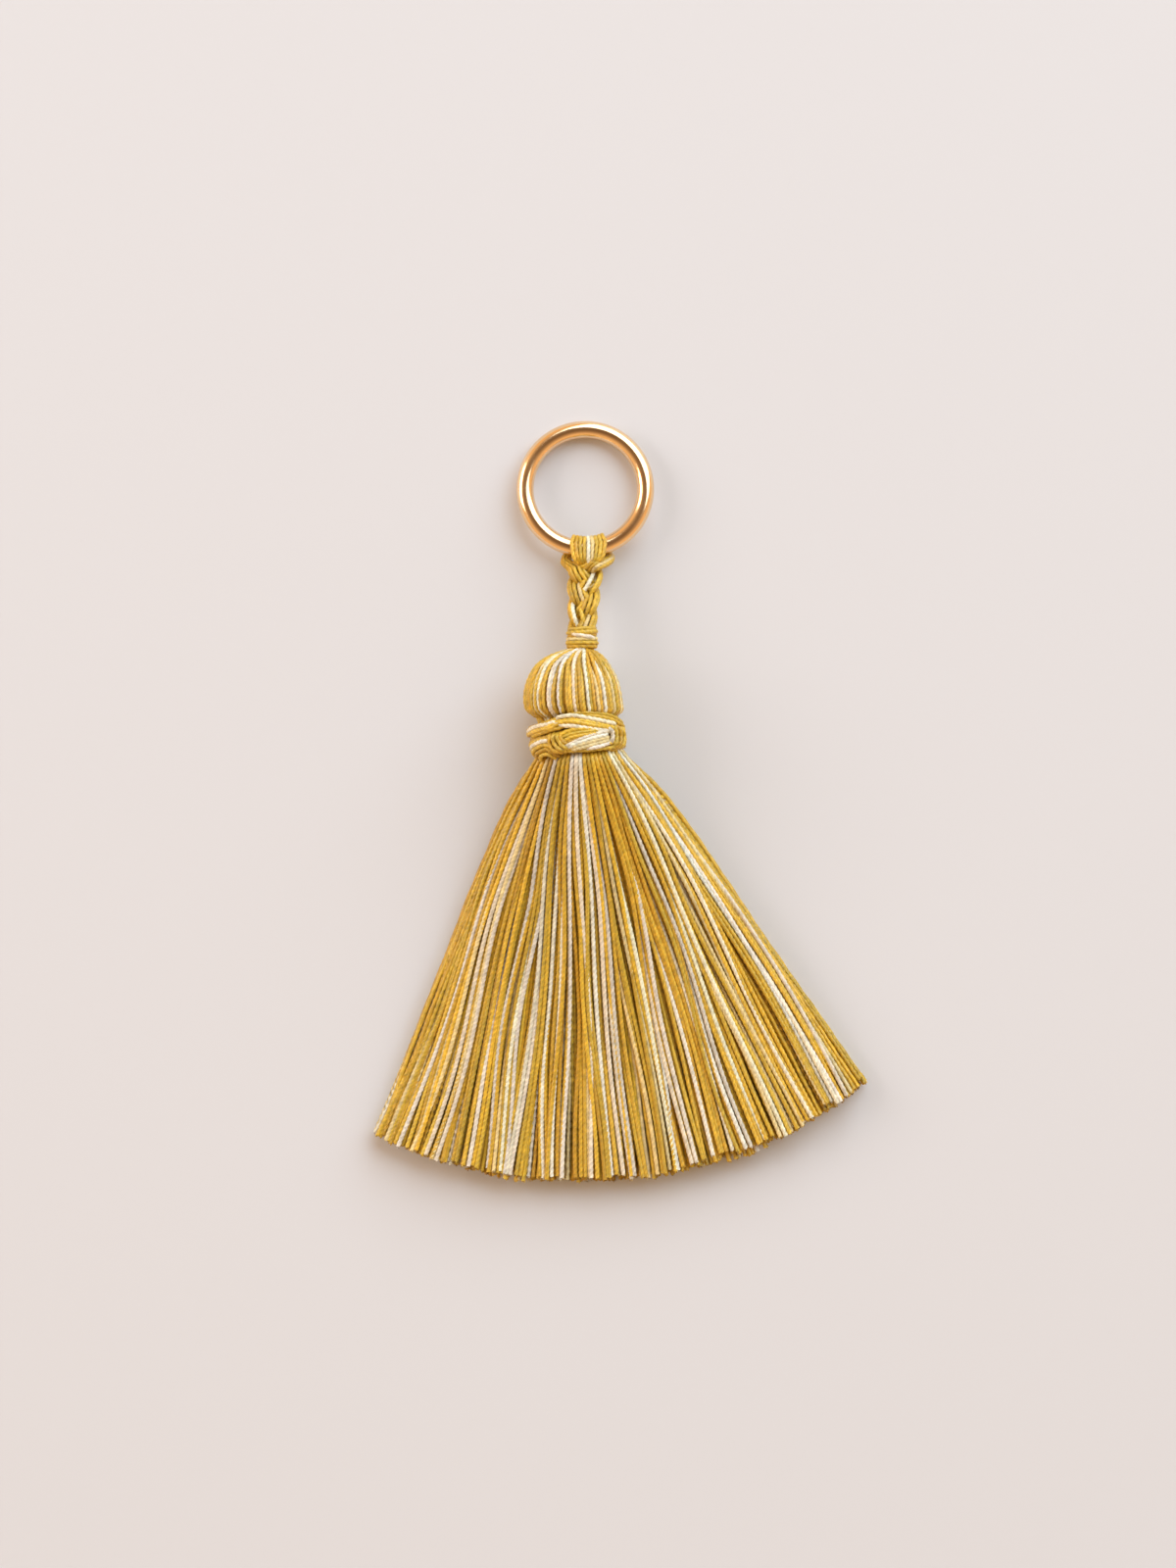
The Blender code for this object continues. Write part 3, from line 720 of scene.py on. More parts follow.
def head_dye(degrees, draw):
    """The dye of a head yarn, its angle counted from the top towards the right."""
    for dye, groups in HEAD_PALE.items():
        if any(abs(degrees - middle) < spread for middle, spread in groups):
            return dye
    return drawn_dye(BACK_DYES if abs(degrees) > SIDE_ANGLE else FRONT_DYES, draw)


def head_yarn(degrees, level, draw):
    """Points of one yarn from under the knot, over the head and into the neck."""
    sway = draw.gauss(0.0, HEAD_SWAY)
    points = []
    for row in HEAD_PROFILE:
        crowding = max(0.0, 1.0 - row["radius"] / (CROWDED_RADIUS + CROWDED_STEP * level))
        depth = YARN_THICKNESS / 2.0 + DIVE_STEP * level * crowding
        radius = max(POLE_RADIUS, row["radius"] - depth)
        turn = math.radians(degrees + sway * row["radius"] / HEAD_RADIUS)
        x = row["middle"] + radius * math.sin(turn)
        z = BUNDLE_HEIGHT + radius * math.cos(turn)
        points.append(Vector((x, row["along"], max(z, LYING_HEIGHT))))
    return points


print("head profile rows:", len(HEAD_PROFILE))

# %% [markdown]
# With the way of one yarn known, the head is that way repeated all round. The yarn
# is a little thinner than the skirt's, because the fold stretches it.

# %% Yarns of the head
HEAD_YARN_THICKNESS = 0.66
head_paths = []
for i in range(HEAD_YARNS):
    degrees = 360.0 * i / HEAD_YARNS - 180.0
    points = head_yarn(degrees, HEAD_DEPTHS[i % len(HEAD_DEPTHS)], draw)
    colour = dyed(head_dye(degrees, draw), draw)
    head_paths.append(Path(points, colour, draw, thickness=HEAD_YARN_THICKNESS))
head_yarns = grow_yarns("head_yarns", head_paths)

# %% [markdown]
# Under the surface yarns the bundle is solid yarn. A plain dark-gold core stands for
# it, a turned shape that follows the same profile a yarn's thickness deeper, so that
# no light comes through between two yarns. It runs on into the skirt's root.

# %% Core of the bundle
CORE_SIDES = 40
CORE_DEPTH = 0.62
CORE_LEAST_RADIUS = 0.4
CORE_ROOT = 0.3
CORE_STEPS = 6
CORE_LEFT, CORE_RIGHT = 0.06, 0.94
CORE_SIDE_GAP = 0.5
CORE_TOP_GAP, CORE_TOP_SLOPE = 2.0, 4.0
CORE_LOW = 0.9


def core_loop(middle, along, across, height, low):
    """A loop of core points round the bundle, with its middle and lowest height."""
    loop = []
    for j in range(CORE_SIDES):
        turn = FULL_TURN * j / CORE_SIDES
        z = height + (height - low) * math.sin(turn)
        loop.append((middle + across * math.cos(turn), along, z))
    return loop


def core_loops():
    """The core's loops: down the head by its profile, then into the skirt's root."""
    loops = []
    for row in HEAD_PROFILE[1:]:
        radius = max(CORE_LEAST_RADIUS, row["radius"] - CORE_DEPTH)
        loops.append(core_loop(row["middle"], row["along"], radius,
                               BUNDLE_HEIGHT, BUNDLE_HEIGHT - radius))
    for step in range(1, CORE_STEPS + 1):
        down = CORE_ROOT * step / CORE_STEPS
        left = skirt_point(CORE_LEFT, 0.5, down)
        right = skirt_point(CORE_RIGHT, 0.5, down)
        top = skirt_point(0.5, 1.0, down).z - CORE_TOP_GAP - CORE_TOP_SLOPE * down
        loops.append(core_loop((left.x + right.x) / 2.0, (left.y + right.y) / 2.0,
                               (right.x - left.x) / 2.0 - CORE_SIDE_GAP,
                               (top + CORE_LOW) / 2.0, CORE_LOW))
    return loops


def loft(name, loops, material, closed):
    """A smooth piece from loops of points, each loop joined to the next by faces."""
    bm = bmesh.new()
    rings = [[bm.verts.new(metres(point)) for point in loop] for loop in loops]
    pairs = list(zip(rings, rings[1:]))
    if closed:
        pairs.insert(0, (rings[-1], rings[0]))
    for first, second in pairs:
        for j in range(len(first)):
            k = (j + 1) % len(first)
            bm.faces.new((first[j], first[k], second[k], second[j]))
    if not closed:
        bm.faces.new(rings[0])
        bm.faces.new(rings[-1])
    bmesh.ops.recalc_face_normals(bm, faces=bm.faces)
    mesh = bpy.data.meshes.new(name)
    bm.to_mesh(mesh)
    bm.free()
    mesh.shade_smooth()
    mesh.materials.append(material)
    return add_object(name, mesh)


bundle_core = loft("bundle_core", core_loops(), YARN, closed=False)
core_points = len(bundle_core.data.vertices)
# Its dark gold is the amber dye plus the full painted shade of the yarn material, which it gets
# because it has no place round a yarn.
core_colours = [*YARN_DYES["amber"], 1.0] * core_points
set_attribute(bundle_core.data, "yarn_colour", "FLOAT_COLOR", "color", core_colours)
for piece in (*upper_pieces, *inner_pieces, cut_ends, head_yarns, bundle_core):
    dress(piece, "yarn", "head_and_skirt")
print("core points:", core_points)

# %% [markdown]
# The neck binding is a group of yarns wound twice round the neck and finished in a
# half knot. Every yarn of it has its own way, so each row below is one yarn: its
# dye, how far it rides over the others, and its places across and along the neck in
# front. A wound yarn goes on round the back. A tucked one shows in front only, and its
# ends dive under its neighbours.

# %% Yarns of the neck binding
NECK_MIDDLE = ((11.8, -6.85), (6.2, -6.4))
BINDING_RADIUS = 6.45
BINDING_THICKNESS = 0.72
TUCK_DEPTH = -0.45
BACK_STEPS = 9
BACK_TIGHTNESS = 0.6


def wound(dye, out, *way):
    """A yarn of the binding that goes on round the back of the neck."""
    return {"dye": dye, "round": True, "out": out, "way": way}


def tucked(dye, out, *way):
    """A yarn of the binding that shows in front only, both its ends tucked in."""
    return {"dye": dye, "round": False, "out": out, "way": way}


BINDING_YARNS = (
    wound("amber", -0.1, (-13.3, 9.6), (-10.6, 10.6), (-6.8, 11.4), (-3.2, 11.2), (-0.3, 10.6)),
    wound("amber", -0.1, (-13.3, 9.0), (-10.6, 9.7), (-6.8, 10.4), (-3.2, 10.3), (-0.3, 10.0)),
    wound("amber", -0.1, (-13.3, 8.4), (-10.6, 8.9), (-6.8, 9.5), (-3.2, 9.5), (-0.3, 9.3)),
    wound("amber", -0.1, (-13.3, 7.7), (-10.6, 8.0), (-6.8, 8.6), (-3.2, 8.7), (-0.3, 8.5)),
    wound("amber", -0.1, (-13.3, 7.0), (-10.6, 7.2), (-6.8, 7.7), (-3.2, 7.9), (-0.3, 7.8)),
    wound("gold", 0.1, (-13.3, 10.0), (-11.6, 10.5), (-9.2, 11.3), (-7.4, 11.9), (-5.9, 12.15),
          (-4.3, 12.1), (-2.2, 11.85), (-0.9, 11.3), (-0.1, 10.7)),
    wound("gold", 0.35, (-13.4, 9.7), (-11.4, 10.2), (-9.0, 10.9), (-6.4, 11.5), (-4.3, 11.65),
          (-2.2, 11.35), (-0.7, 10.7), (0.0, 10.2)),
    tucked("cream", 0.5, (-9.9, 11.2), (-9.1, 11.5), (-7.4, 11.75), (-5.9, 11.55), (-3.3, 11.05),
           (-1.3, 10.6), (-0.7, 10.4)),
    wound("gold", 0.4, (-13.5, 9.3), (-11.4, 9.8), (-9.0, 10.9), (-6.4, 11.05), (-4.3, 10.7),
          (-2.8, 10.35), (-1.2, 10.0), (0.0, 9.7)),
    tucked("gold", 0.35, (-9.4, 10.2), (-8.5, 10.6), (-6.4, 10.6), (-4.3, 10.25), (-2.6, 9.95)),
    wound("cream", 0.45, (-13.5, 9.5), (-13.0, 9.95), (-11.8, 10.3), (-10.8, 10.45),
          (-9.9, 10.75), (-8.5, 10.3), (-6.8, 10.2), (-3.3, 9.7), (-0.3, 9.3)),
    wound("gold", 0.5, (-13.6, 9.0), (-12.9, 9.35), (-11.6, 9.75), (-10.5, 9.9), (-9.3, 10.5),
          (-8.2, 10.9), (-6.4, 10.75), (-3.3, 10.2), (-0.3, 9.9)),
    tucked("gold", 0.4, (-13.4, 8.4), (-12.9, 8.75), (-11.6, 9.25), (-10.4, 9.6), (-9.0, 10.0),
           (-8.2, 10.3)),
    wound("amber", 0.2, (-13.7, 7.8), (-12.6, 8.3), (-11.0, 8.6), (-9.2, 9.0), (-6.4, 9.85),
          (-3.3, 9.95), (-1.6, 9.8), (0.1, 9.2)),
    tucked("gold", 0.4, (-9.7, 8.6), (-9.1, 8.75), (-8.2, 9.35), (-6.4, 9.8), (-4.0, 9.9),
           (-2.2, 9.9)),
    tucked("gold", 0.5, (-9.6, 8.2), (-8.9, 8.35), (-7.4, 9.1), (-5.4, 9.4), (-3.8, 9.6),
           (-2.4, 9.5)),
    tucked("gold", 0.5, (-9.4, 7.8), (-8.7, 7.95), (-7.4, 8.6), (-5.4, 9.0), (-3.6, 9.2),
           (-2.2, 9.1)),
    tucked("amber", 0.45, (-9.2, 7.4), (-8.5, 7.6), (-7.0, 8.2), (-5.2, 8.6), (-3.6, 8.7),
           (-2.2, 8.7)),
    tucked("cream", 0.6, (-9.0, 7.05), (-8.35, 7.25), (-7.4, 7.7), (-5.9, 8.4), (-4.3, 9.0),
           (-2.5, 9.5), (-1.9, 9.6)),
    tucked("cream", 0.6, (-8.6, 6.9), (-7.6, 7.3), (-6.1, 7.95), (-4.3, 8.55), (-2.5, 9.0),
           (-1.8, 9.1)),
    tucked("straw", 0.55, (-8.2, 6.8), (-7.0, 7.2), (-5.6, 7.65), (-4.3, 8.05), (-2.3, 8.55),
           (-1.7, 8.6)),
    tucked("straw", 0.5, (-7.8, 6.65), (-6.8, 6.95), (-5.4, 7.25), (-4.3, 7.6), (-2.3, 8.15),
           (-1.7, 8.2)),
    tucked("cream", 0.45, (-6.0, 6.75), (-4.6, 7.1), (-3.3, 7.35), (-2.1, 7.8), (-1.6, 7.9)),
    wound("gold", 0.15, (-13.6, 6.9), (-11.4, 6.9), (-9.0, 6.7), (-7.4, 6.7), (-5.9, 6.75),
          (-4.6, 6.8), (-3.0, 7.0), (-1.3, 7.2), (0.1, 7.4)),
    wound("gold", 0.3, (-13.8, 7.5), (-12.6, 8.0), (-11.2, 8.3), (-9.6, 8.2), (-8.0, 7.2),
          (-5.4, 7.2), (-3.0, 7.6), (-1.3, 8.0), (0.2, 8.3)),
    tucked("cream", 0.6, (-13.3, 6.6), (-13.1, 7.2), (-12.2, 7.8), (-11.1, 8.1), (-10.2, 8.1)),
    tucked("gold", 0.5, (-13.2, 5.7), (-12.9, 6.5), (-12.2, 7.15), (-11.2, 7.5), (-10.2, 7.2),
           (-9.6, 6.6)),
    tucked("amber", 0.6, (-12.9, 5.4), (-12.4, 6.1), (-11.7, 6.65), (-10.9, 6.9), (-10.2, 6.5),
           (-9.7, 5.9)),
    tucked("gold", 0.45, (-12.4, 5.1), (-11.8, 5.8), (-11.1, 6.2), (-10.5, 6.1), (-10.1, 5.6)),
    tucked("gold", 0.75, (-10.7, 9.2), (-10.5, 8.6), (-10.5, 7.7), (-10.1, 6.9), (-9.3, 6.5),
           (-8.6, 6.5)),
    tucked("gold", 0.95, (-10.2, 9.3), (-10.0, 8.7), (-9.9, 7.9), (-9.4, 7.15), (-8.7, 6.75),
           (-8.2, 6.8)),
    tucked("gold", 0.95, (-9.7, 9.3), (-9.5, 8.7), (-9.2, 8.1), (-8.8, 7.5), (-8.3, 7.1),
           (-8.0, 7.1)),
    tucked("amber", 0.8, (-9.2, 9.2), (-9.0, 8.7), (-8.7, 8.2), (-8.3, 7.7), (-7.9, 7.4)),
    tucked("cream", 0.65, (-2.2, 10.4), (-1.8, 9.8), (-1.5, 9.0), (-1.55, 8.2), (-1.9, 7.5)),
    tucked("gold", 0.6, (-1.5, 10.6), (-1.1, 9.9), (-0.9, 8.8), (-1.0, 7.8), (-1.4, 6.8)),
    tucked("amber", 0.75, (-0.9, 10.6), (-0.5, 9.9), (-0.3, 8.8), (-0.4, 7.7), (-0.8, 6.7)),
    tucked("gold", 0.75, (-0.4, 10.3), (0.0, 9.6), (0.2, 8.7), (0.1, 7.7), (-0.3, 6.8)),
)


def neck_middle(along):
    """Where the neck's middle lies across, at a place along the tassel."""
    (top_along, top_x), (low_along, low_x) = NECK_MIDDLE
    return mix(low_x, top_x, (along - low_along) / (top_along - low_along))


def neck_point(turn, along, out):
    """A point round the neck: its turn is from the top towards the right."""
    radius = BINDING_RADIUS + out
    z = BUNDLE_HEIGHT + radius * math.cos(turn)
    return Vector((neck_middle(along) + radius * math.sin(turn), along, max(z, LYING_HEIGHT)))


def turn_at(across, along, out):
    """The turn at which a yarn on the neck's upper side is seen at a place across."""
    side = (across - neck_middle(along)) / (BINDING_RADIUS + out)
    return math.asin(max(-1.0, min(1.0, side)))


def binding_points(row):
    """Points of one yarn of the binding."""
    way = row["way"]
    points = []
    for i, (across, along) in enumerate(way):
        ends = not row["round"] and i in (0, len(way) - 1)
        out = TUCK_DEPTH if ends else row["out"]
        points.append(neck_point(turn_at(across, along, row["out"]), along, out))
    if row["round"]:
        first = turn_at(*way[0], row["out"])
        last = turn_at(*way[-1], row["out"])
        for step in range(1, BACK_STEPS):
            share = step / BACK_STEPS
            turn = mix(last, first + FULL_TURN, share)
            along = mix(way[-1][1], way[0][1], share)
            points.append(neck_point(turn, along, row["out"] * BACK_TIGHTNESS))
    return points


binding_paths = [Path(binding_points(row), dyed(row["dye"], draw), draw,
                      thickness=BINDING_THICKNESS, closed=row["round"])
                 for row in BINDING_YARNS]
binding = dress(grow_yarns("binding_yarns", binding_paths), "yarn", "neck_binding")

# %% [markdown]
# The ring is a plain torus of round wire, so it is turned with finer steps than the
# solid model has, at the same place and tilt. Its metal is polished: a gold colour and
# a low roughness that faint wear makes uneven, with no bump at all. What makes it look
# like metal is what it reflects, and that comes from the lights at the end.

# %% Ring
RING_WIRE = 2.5
RING_TILT = math.radians(6.0)
RING_STEPS = 144
WIRE_SIDES = 36
RING_REACH = (RING_OUTER - RING_WIRE) / 2.0
RING_HEIGHT = RING_WIRE / 2.0 + RING_REACH * math.sin(RING_TILT)
METAL_FINISH = {"Metallic": 1.0, "Base Color": (0.95, 0.67, 0.39, 1.0)}
METAL_ROUGHNESS = (0.08, 0.24)
WEAR_PATCHES = 420.0


def ring_point(turn, round_wire, off):
    """A point near the ring: the turn along it, round its wire, and off its middle."""
    reach = RING_REACH + off * math.cos(round_wire)
    x = reach * math.sin(turn)
    y = -reach * math.cos(turn)
    z = off * math.sin(round_wire)
    tilted_y = y * math.cos(RING_TILT) + z * math.sin(RING_TILT)
    tilted_z = z * math.cos(RING_TILT) - y * math.sin(RING_TILT)
    return Vector((RING_MIDDLE[0] + x, RING_MIDDLE[1] + tilted_y, RING_HEIGHT + tilted_z))


def ring_loops():
    """The wire's round outline at each step of the way along the ring."""
    return [[ring_point(FULL_TURN * i / RING_STEPS, FULL_TURN * j / WIRE_SIDES, RING_WIRE / 2.0)
             for j in range(WIRE_SIDES)] for i in range(RING_STEPS)]


def metal_material(name):
    material, tree, shader = new_material(name, METAL_FINISH)
    place = add_node(tree, "ShaderNodeTexCoord", (-900, 0))
    wear = add_node(tree, "ShaderNodeTexNoise", (-700, 0), {"Scale": WEAR_PATCHES, "Detail": 4.0})
    rough = add_range(tree, (-450, 0), 0.0, 1.0, METAL_ROUGHNESS)
    join(tree,
         (place, "Object", wear, "Vector"),
         (wear, "Fac", rough, "Value"),
         (rough, "Result", shader, "Roughness"))
    return material


polished_gold = metal_material("polished_gold")
ring = dress(loft("polished_ring", ring_loops(), polished_gold, closed=True), "ring", "ring")
print("ring faces:", len(ring.data.polygons))

# %% [markdown]
# The hanger is a plait of three cords, and each cord is a handful of yarns side by
# side. First come the ways of the three cords, close to the solid model's: one passes
# flat over the ring's wire and down the front, and two come from behind the ring
# at the left and the right. Then the three plait: each swings from side to side a
# third of a turn after the next, and passes over one and under the other.

# %% Ways of the three cords
PLAIT_PITCH = 9.4
PLAIT_START = 3.0
PLAIT_END = 11.9
PLAIT_PHASE_START = 1.0
PLAIT_AMPLITUDE = 1.4
PLAIT_NARROWING = 0.55
PLAIT_DEPTH = 0.62
PLAIT_STEPS = 24
PLAIT_LOW = 3.5
KNOT_X, KNOT_HEIGHT = -5.86, 6.4
CORD_HALF_WIDTH, CORD_HALF_THICKNESS = 1.3, 0.85
wire_middle = ring_point(0.0, 0.0, 0.0)


def station(across, down, height, half_width, half_thickness):
    """A station of a cord: its point, measured from the wire, and its half sizes."""
    point = Vector((wire_middle.x + across, wire_middle.y - down, height))
    return point, half_width, half_thickness


FRONT_CORD = [station(0.45, 1.35, 5.0, 2.35, 0.5),
              station(0.5, 2.2, 4.4, 1.5, 0.6)]
LEFT_CORD = [station(-0.8, -0.5, 1.0, 0.6, 0.4),
             station(-2.2, 0.5, 0.98, 0.7, 0.5),
             station(-2.8, 1.8, 2.1, 0.8, 0.65),
             station(-2.0, 2.6, 3.2, 0.95, 0.75)]
RIGHT_CORD = [station(0.8, -0.5, 1.0, 0.6, 0.4),
              station(2.6, 0.1, 0.96, 0.65, 0.5),
              station(3.5, 1.3, 1.8, 0.8, 0.65),
              station(2.8, 2.05, 3.4, 0.85, 0.7),
              station(1.4, 2.5, 4.7, 0.95, 0.75)]


def plait_way(phase):
    """Stations of a cord in the plait."""
    way = []
    for i in range(PLAIT_STEPS + 1):
        share = i / PLAIT_STEPS
        down = mix(PLAIT_START, PLAIT_END, share)
        turn = FULL_TURN * ((down - PLAIT_PHASE_START) / PLAIT_PITCH + 0.25) + phase
        x = mix(wire_middle.x, KNOT_X, share)
        x += PLAIT_AMPLITUDE * mix(1.0, PLAIT_NARROWING, share) * math.sin(turn)
        z = mix(PLAIT_LOW, KNOT_HEIGHT, share) - PLAIT_DEPTH * math.sin(2.0 * turn)
        way.append((Vector((x, wire_middle.y - down, z)), CORD_HALF_WIDTH, CORD_HALF_THICKNESS))
    return way


third = FULL_TURN / 3.0
front_way = FRONT_CORD + plait_way(-third)
left_way = LEFT_CORD + plait_way(third)
right_way = RIGHT_CORD + plait_way(0.0)
print("stations:", len(front_way), len(left_way), len(right_way))

# %% [markdown]
# Each cord's yarns lie round its middle line, in an oval. A little twist along the
# cord keeps them from looking ruled. The front cord is special: where it passes
# over the wire its yarns lie side by side in one flat band, so each yarn's place
# goes smoothly from the band to the oval.

# %% Yarns of the plait
CORD_YARNS = 9
CORD_YARN_THICKNESS = 0.66
CORD_INSET = CORD_YARN_THICKNESS * 0.42
CORD_TWIST = {"left": 0.035, "right": -0.035}
FRONT_TWIST = 0.03
ROUNDING_STATIONS = 6.0
LEAST_SIDE = 0.35
LOOP_PITCH = 0.63
LOOP_MIDDLE = 0.5
CORD_DYES = {
    "front": ("gold", "amber", "gold", "gold", "cream", "straw", "gold", "gold", "gold"),
    "left": ("gold", "straw", "cream", "gold", "gold", "amber", "gold", "gold", "gold"),
    "right": ("gold", "gold", "straw", "cream", "gold", "gold", "amber", "gold", "straw"),
}


def section_axes(way, i):
    """The cord's sideways and upward directions at one of its stations."""
    ahead = (way[min(i + 1, len(way) - 1)][0] - way[max(i - 1, 0)][0]).normalized()
    side = Vector((1.0, 0.0, 0.0)) - ahead * ahead.x
    if side.length < LEAST_SIDE:
        side = Vector((0.0, 0.0, 1.0)).cross(ahead)
    side.normalize()
    return side, side.cross(ahead)


def cord_yarn(way, number, twist):
    """Points of one yarn of a cord, in an oval round the cord's way."""
    points = []
    for i, (middle, half_width, half_thickness) in enumerate(way):
        side, up = section_axes(way, i)
        turn = FULL_TURN * number / CORD_YARNS + twist * i
        across = (half_width - CORD_INSET) * math.cos(turn)
        rise = (half_thickness - CORD_INSET) * math.sin(turn)
        points.append(middle + side * across + up * rise)
    return points


def loop_yarn(number):
    """Points of one yarn of the flat band, from under the wire to over it."""
    off = RING_WIRE / 2.0 + CORD_YARN_THICKNESS / 2.0
    across = LOOP_MIDDLE + (number - (CORD_YARNS - 1) / 2.0) * LOOP_PITCH
    points = []
    for degrees in range(265, 90, -15):
        points.append(ring_point(across / RING_REACH, math.radians(degrees), off))
    return points


def front_yarn(number):
    """Points of one yarn of the front cord, from the flat band into the plait."""
    turn = math.pi * (1.0 - number / (CORD_YARNS - 1))
    points = loop_yarn(number)
    for i, (middle, half_width, half_thickness) in enumerate(front_way):
        side, up = section_axes(front_way, i)
        rounded = min(1.0, i / ROUNDING_STATIONS)
        level = 1.0 - 2.0 * number / (CORD_YARNS - 1)
        spin = turn + FRONT_TWIST * i
        across = mix(-level, math.cos(spin), rounded) * (half_width - CORD_INSET)
        rise = math.sin(spin) * rounded * (half_thickness - CORD_INSET)
        if number % 3 == 1:
            rise = -rise
        points.append(middle + side * across + up * rise)
    return points


def dyed_cord(name, ways):
    """The paths of a cord's yarns, each in its dye."""
    return [Path(points, dyed(dye, draw), draw, thickness=CORD_YARN_THICKNESS)
            for points, dye in zip(ways, CORD_DYES[name])]


hanger_paths = dyed_cord("front", [front_yarn(number) for number in range(CORD_YARNS)])
for name, way in (("left", left_way), ("right", right_way)):
    hanger_paths += dyed_cord(name, [cord_yarn(way, number, CORD_TWIST[name])
                                     for number in range(CORD_YARNS)])
hanger = dress(grow_yarns("hanger_yarns", hanger_paths), "yarn", "hanger")

# %% [markdown]
# The knot above the head is a short wrap of the same yarns. Like the binding it is
# made of closed turns, each with its place at the left and at the right, and one
# pale yarn runs over the others on a slant. Six thick yarns along its middle fill it.

# %% Knot
KNOT_RADIUS = (1.78, 1.6)
KNOT_THICKNESS = 0.74
KNOT_TURNS = (
    {"left": 24.2, "right": 24.45, "out": 0.0, "dye": "gold"},
    {"left": 23.7, "right": 23.95, "out": 0.2, "dye": "gold"},
    {"left": 23.2, "right": 23.45, "out": 0.05, "dye": "amber"},
    {"left": 22.8, "right": 22.9, "out": 0.2, "dye": "straw"},
    {"left": 22.3, "right": 22.3, "out": 0.3, "dye": "gold"},
    {"left": 21.8, "right": 21.8, "out": 0.15, "dye": "gold"},
)
CROSSING = {"from": 165.0, "to": 5.0, "high": 23.95, "low": 22.8, "tuck": -0.5, "out": 0.35}
CROSSING_STEPS = 8
KNOT_CORE_YARNS = 6
KNOT_CORE_RADIUS = 0.8
KNOT_CORE_THICKNESS = 1.1
KNOT_CORE_PLACES = (24.5, 23.5, 22.5, 21.6)


def knot_point(turn, out, along):
    """A point round the knot, its turn counted from the right towards the top."""
    return Vector((KNOT_X + (KNOT_RADIUS[0] + out) * math.cos(turn), along,
                   KNOT_HEIGHT + (KNOT_RADIUS[1] + out) * math.sin(turn)))


def knot_turn(row):
    """The closed path of one turn of the knot's wrap."""
    points = []
    for degrees in range(0, 360, 20):
        turn = math.radians(degrees)
        along = mix(row["left"], row["right"], 0.5 + 0.5 * math.cos(turn))
        points.append(knot_point(turn, row["out"], along))
    return points


def knot_crossing():
    """The pale yarn that slants over the front of the knot, its ends tucked in."""
    points = []
    for step in range(CROSSING_STEPS + 1):
        share = step / CROSSING_STEPS
        turn = math.radians(mix(CROSSING["from"], CROSSING["to"], share))
        out = mix(CROSSING["tuck"], CROSSING["out"], math.sin(math.pi * share) ** 0.5)
        points.append(knot_point(turn, out, mix(CROSSING["high"], CROSSING["low"], share ** 0.8)))
    return points


knot_paths = [Path(knot_turn(row), dyed(row["dye"], draw), draw, thickness=KNOT_THICKNESS,
                   closed=True) for row in KNOT_TURNS]
knot_paths.append(Path(knot_crossing(), dyed("cream", draw), draw, thickness=KNOT_THICKNESS))
for number in range(KNOT_CORE_YARNS):
    turn = FULL_TURN * number / KNOT_CORE_YARNS
    x = KNOT_X + KNOT_CORE_RADIUS * math.cos(turn)
    z = KNOT_HEIGHT + KNOT_CORE_RADIUS * math.sin(turn)
    points = [Vector((x, along, z)) for along in KNOT_CORE_PLACES]
    knot_paths.append(Path(points, dyed("amber", draw), draw, thickness=KNOT_CORE_THICKNESS))
knot = dress(grow_yarns("knot_yarns", knot_paths), "yarn", "top_knot")

# %% [markdown]
# The stage is a plain pale floor. Its only job is to catch the soft shadow at the
# cut edge, so one even off-white with no pattern is all that it needs.

# %% Floor
FLOOR_SIZE = 3.0
FLOOR_FINISH = {"Roughness": 0.55, "Base Color": (0.71, 0.735, 0.82, 1.0)}
bpy.ops.mesh.primitive_plane_add(size=FLOOR_SIZE, location=(0.0, 0.0, 0.0))
floor = bpy.context.object
floor.name = "floor"
floor.data.materials.append(new_material("pale_floor", FLOOR_FINISH)[0])
print("floor side in metres:", FLOOR_SIZE)

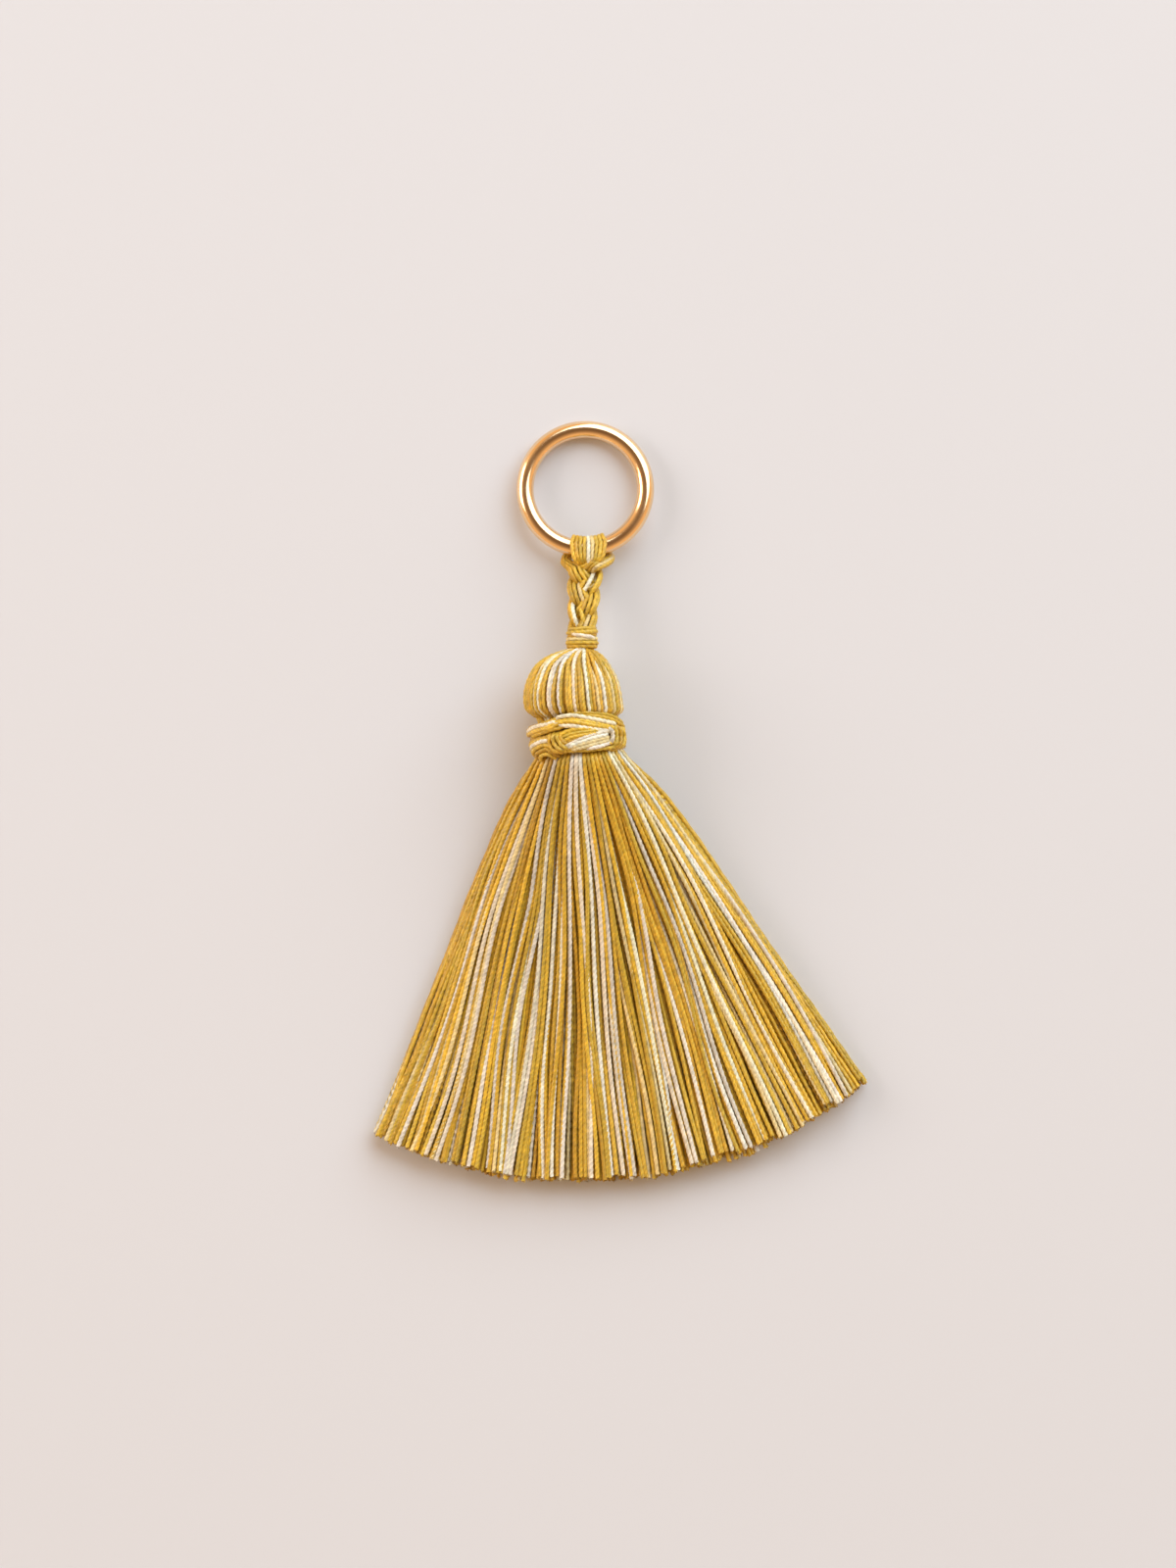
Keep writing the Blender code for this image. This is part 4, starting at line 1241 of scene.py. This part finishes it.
# %% [markdown]
# The light is a bright, overcast window beyond the ring and to its right: one very
# large soft lamp high up there, and a weaker one at the left that stands for a pale
# wall. The ring tells where the window is: its wire is brightest where it runs across
# the window's direction, at the upper right and lower left, and deepest where it runs
# along it. The room itself is warm, so the world is too, and it fills the shadows with
# that warmth while the window's light is cooler. Straight above, where the camera is,
# it is dark, which polished wire shows as the dark line between its highlights.
# The plain view transform keeps the yarn's gold as strong as it is.

# %% Lights
LAMPS = (
    {"name": "window", "place": (0.95, 1.44, 1.35), "size": (2.6, 2.2), "power": 56.5,
     "colour": (0.72, 0.90, 1.0)},
    {"name": "left_wall", "place": (-1.3, 0.4, 0.7), "size": (0.9, 0.8), "power": 9.0,
     "colour": (1.0, 0.93, 0.88)},
)
ROOM_STRENGTH = 0.90
ROOM_COLOURS = {
    0.0: (1.0, 0.80, 0.54, 1.0),
    0.25: (1.0, 0.66, 0.35, 1.0),
    0.55: (0.97, 0.62, 0.32, 1.0),
    0.985: (0.22, 0.13, 0.07, 1.0),
}


def area_lamp(row):
    """A soft lamp at its place, turned towards the tassel."""
    data = bpy.data.lights.new(row["name"], "AREA")
    data.shape = "RECTANGLE"
    data.size, data.size_y = row["size"]
    data.energy = row["power"]
    data.color = row["colour"]
    lamp = add_object(row["name"], data)
    lamp.location = row["place"]
    lamp.rotation_euler = (-lamp.location).to_track_quat("-Z", "Y").to_euler()


def room_world(name):
    """A world whose colour follows the height of the direction: level first, up last."""
    world = bpy.data.worlds.new(name)
    world.use_nodes = True
    tree = world.node_tree
    background = tree.nodes["Background"]
    background.inputs["Strength"].default_value = ROOM_STRENGTH
    direction = add_node(tree, "ShaderNodeTexCoord", (-900, 0))
    split = add_node(tree, "ShaderNodeSeparateXYZ", (-700, 0))
    walls = add_node(tree, "ShaderNodeValToRGB", (-500, 0))
    stops = walls.color_ramp.elements
    for height, colour in ROOM_COLOURS.items():
        stop = stops.new(height) if height > 0.0 else stops[0]
        stop.color = colour
    stops.remove(stops[len(stops) - 1])
    join(tree,
         (direction, "Generated", split, "Vector"),
         (split, "Z", walls, "Fac"),
         (walls, "Color", background, "Color"))
    return world


for row in LAMPS:
    area_lamp(row)
bpy.context.scene.world = room_world("studio")
bpy.context.scene.view_settings.view_transform = "Standard"
print("lamps:", ", ".join(row["name"] for row in LAMPS))
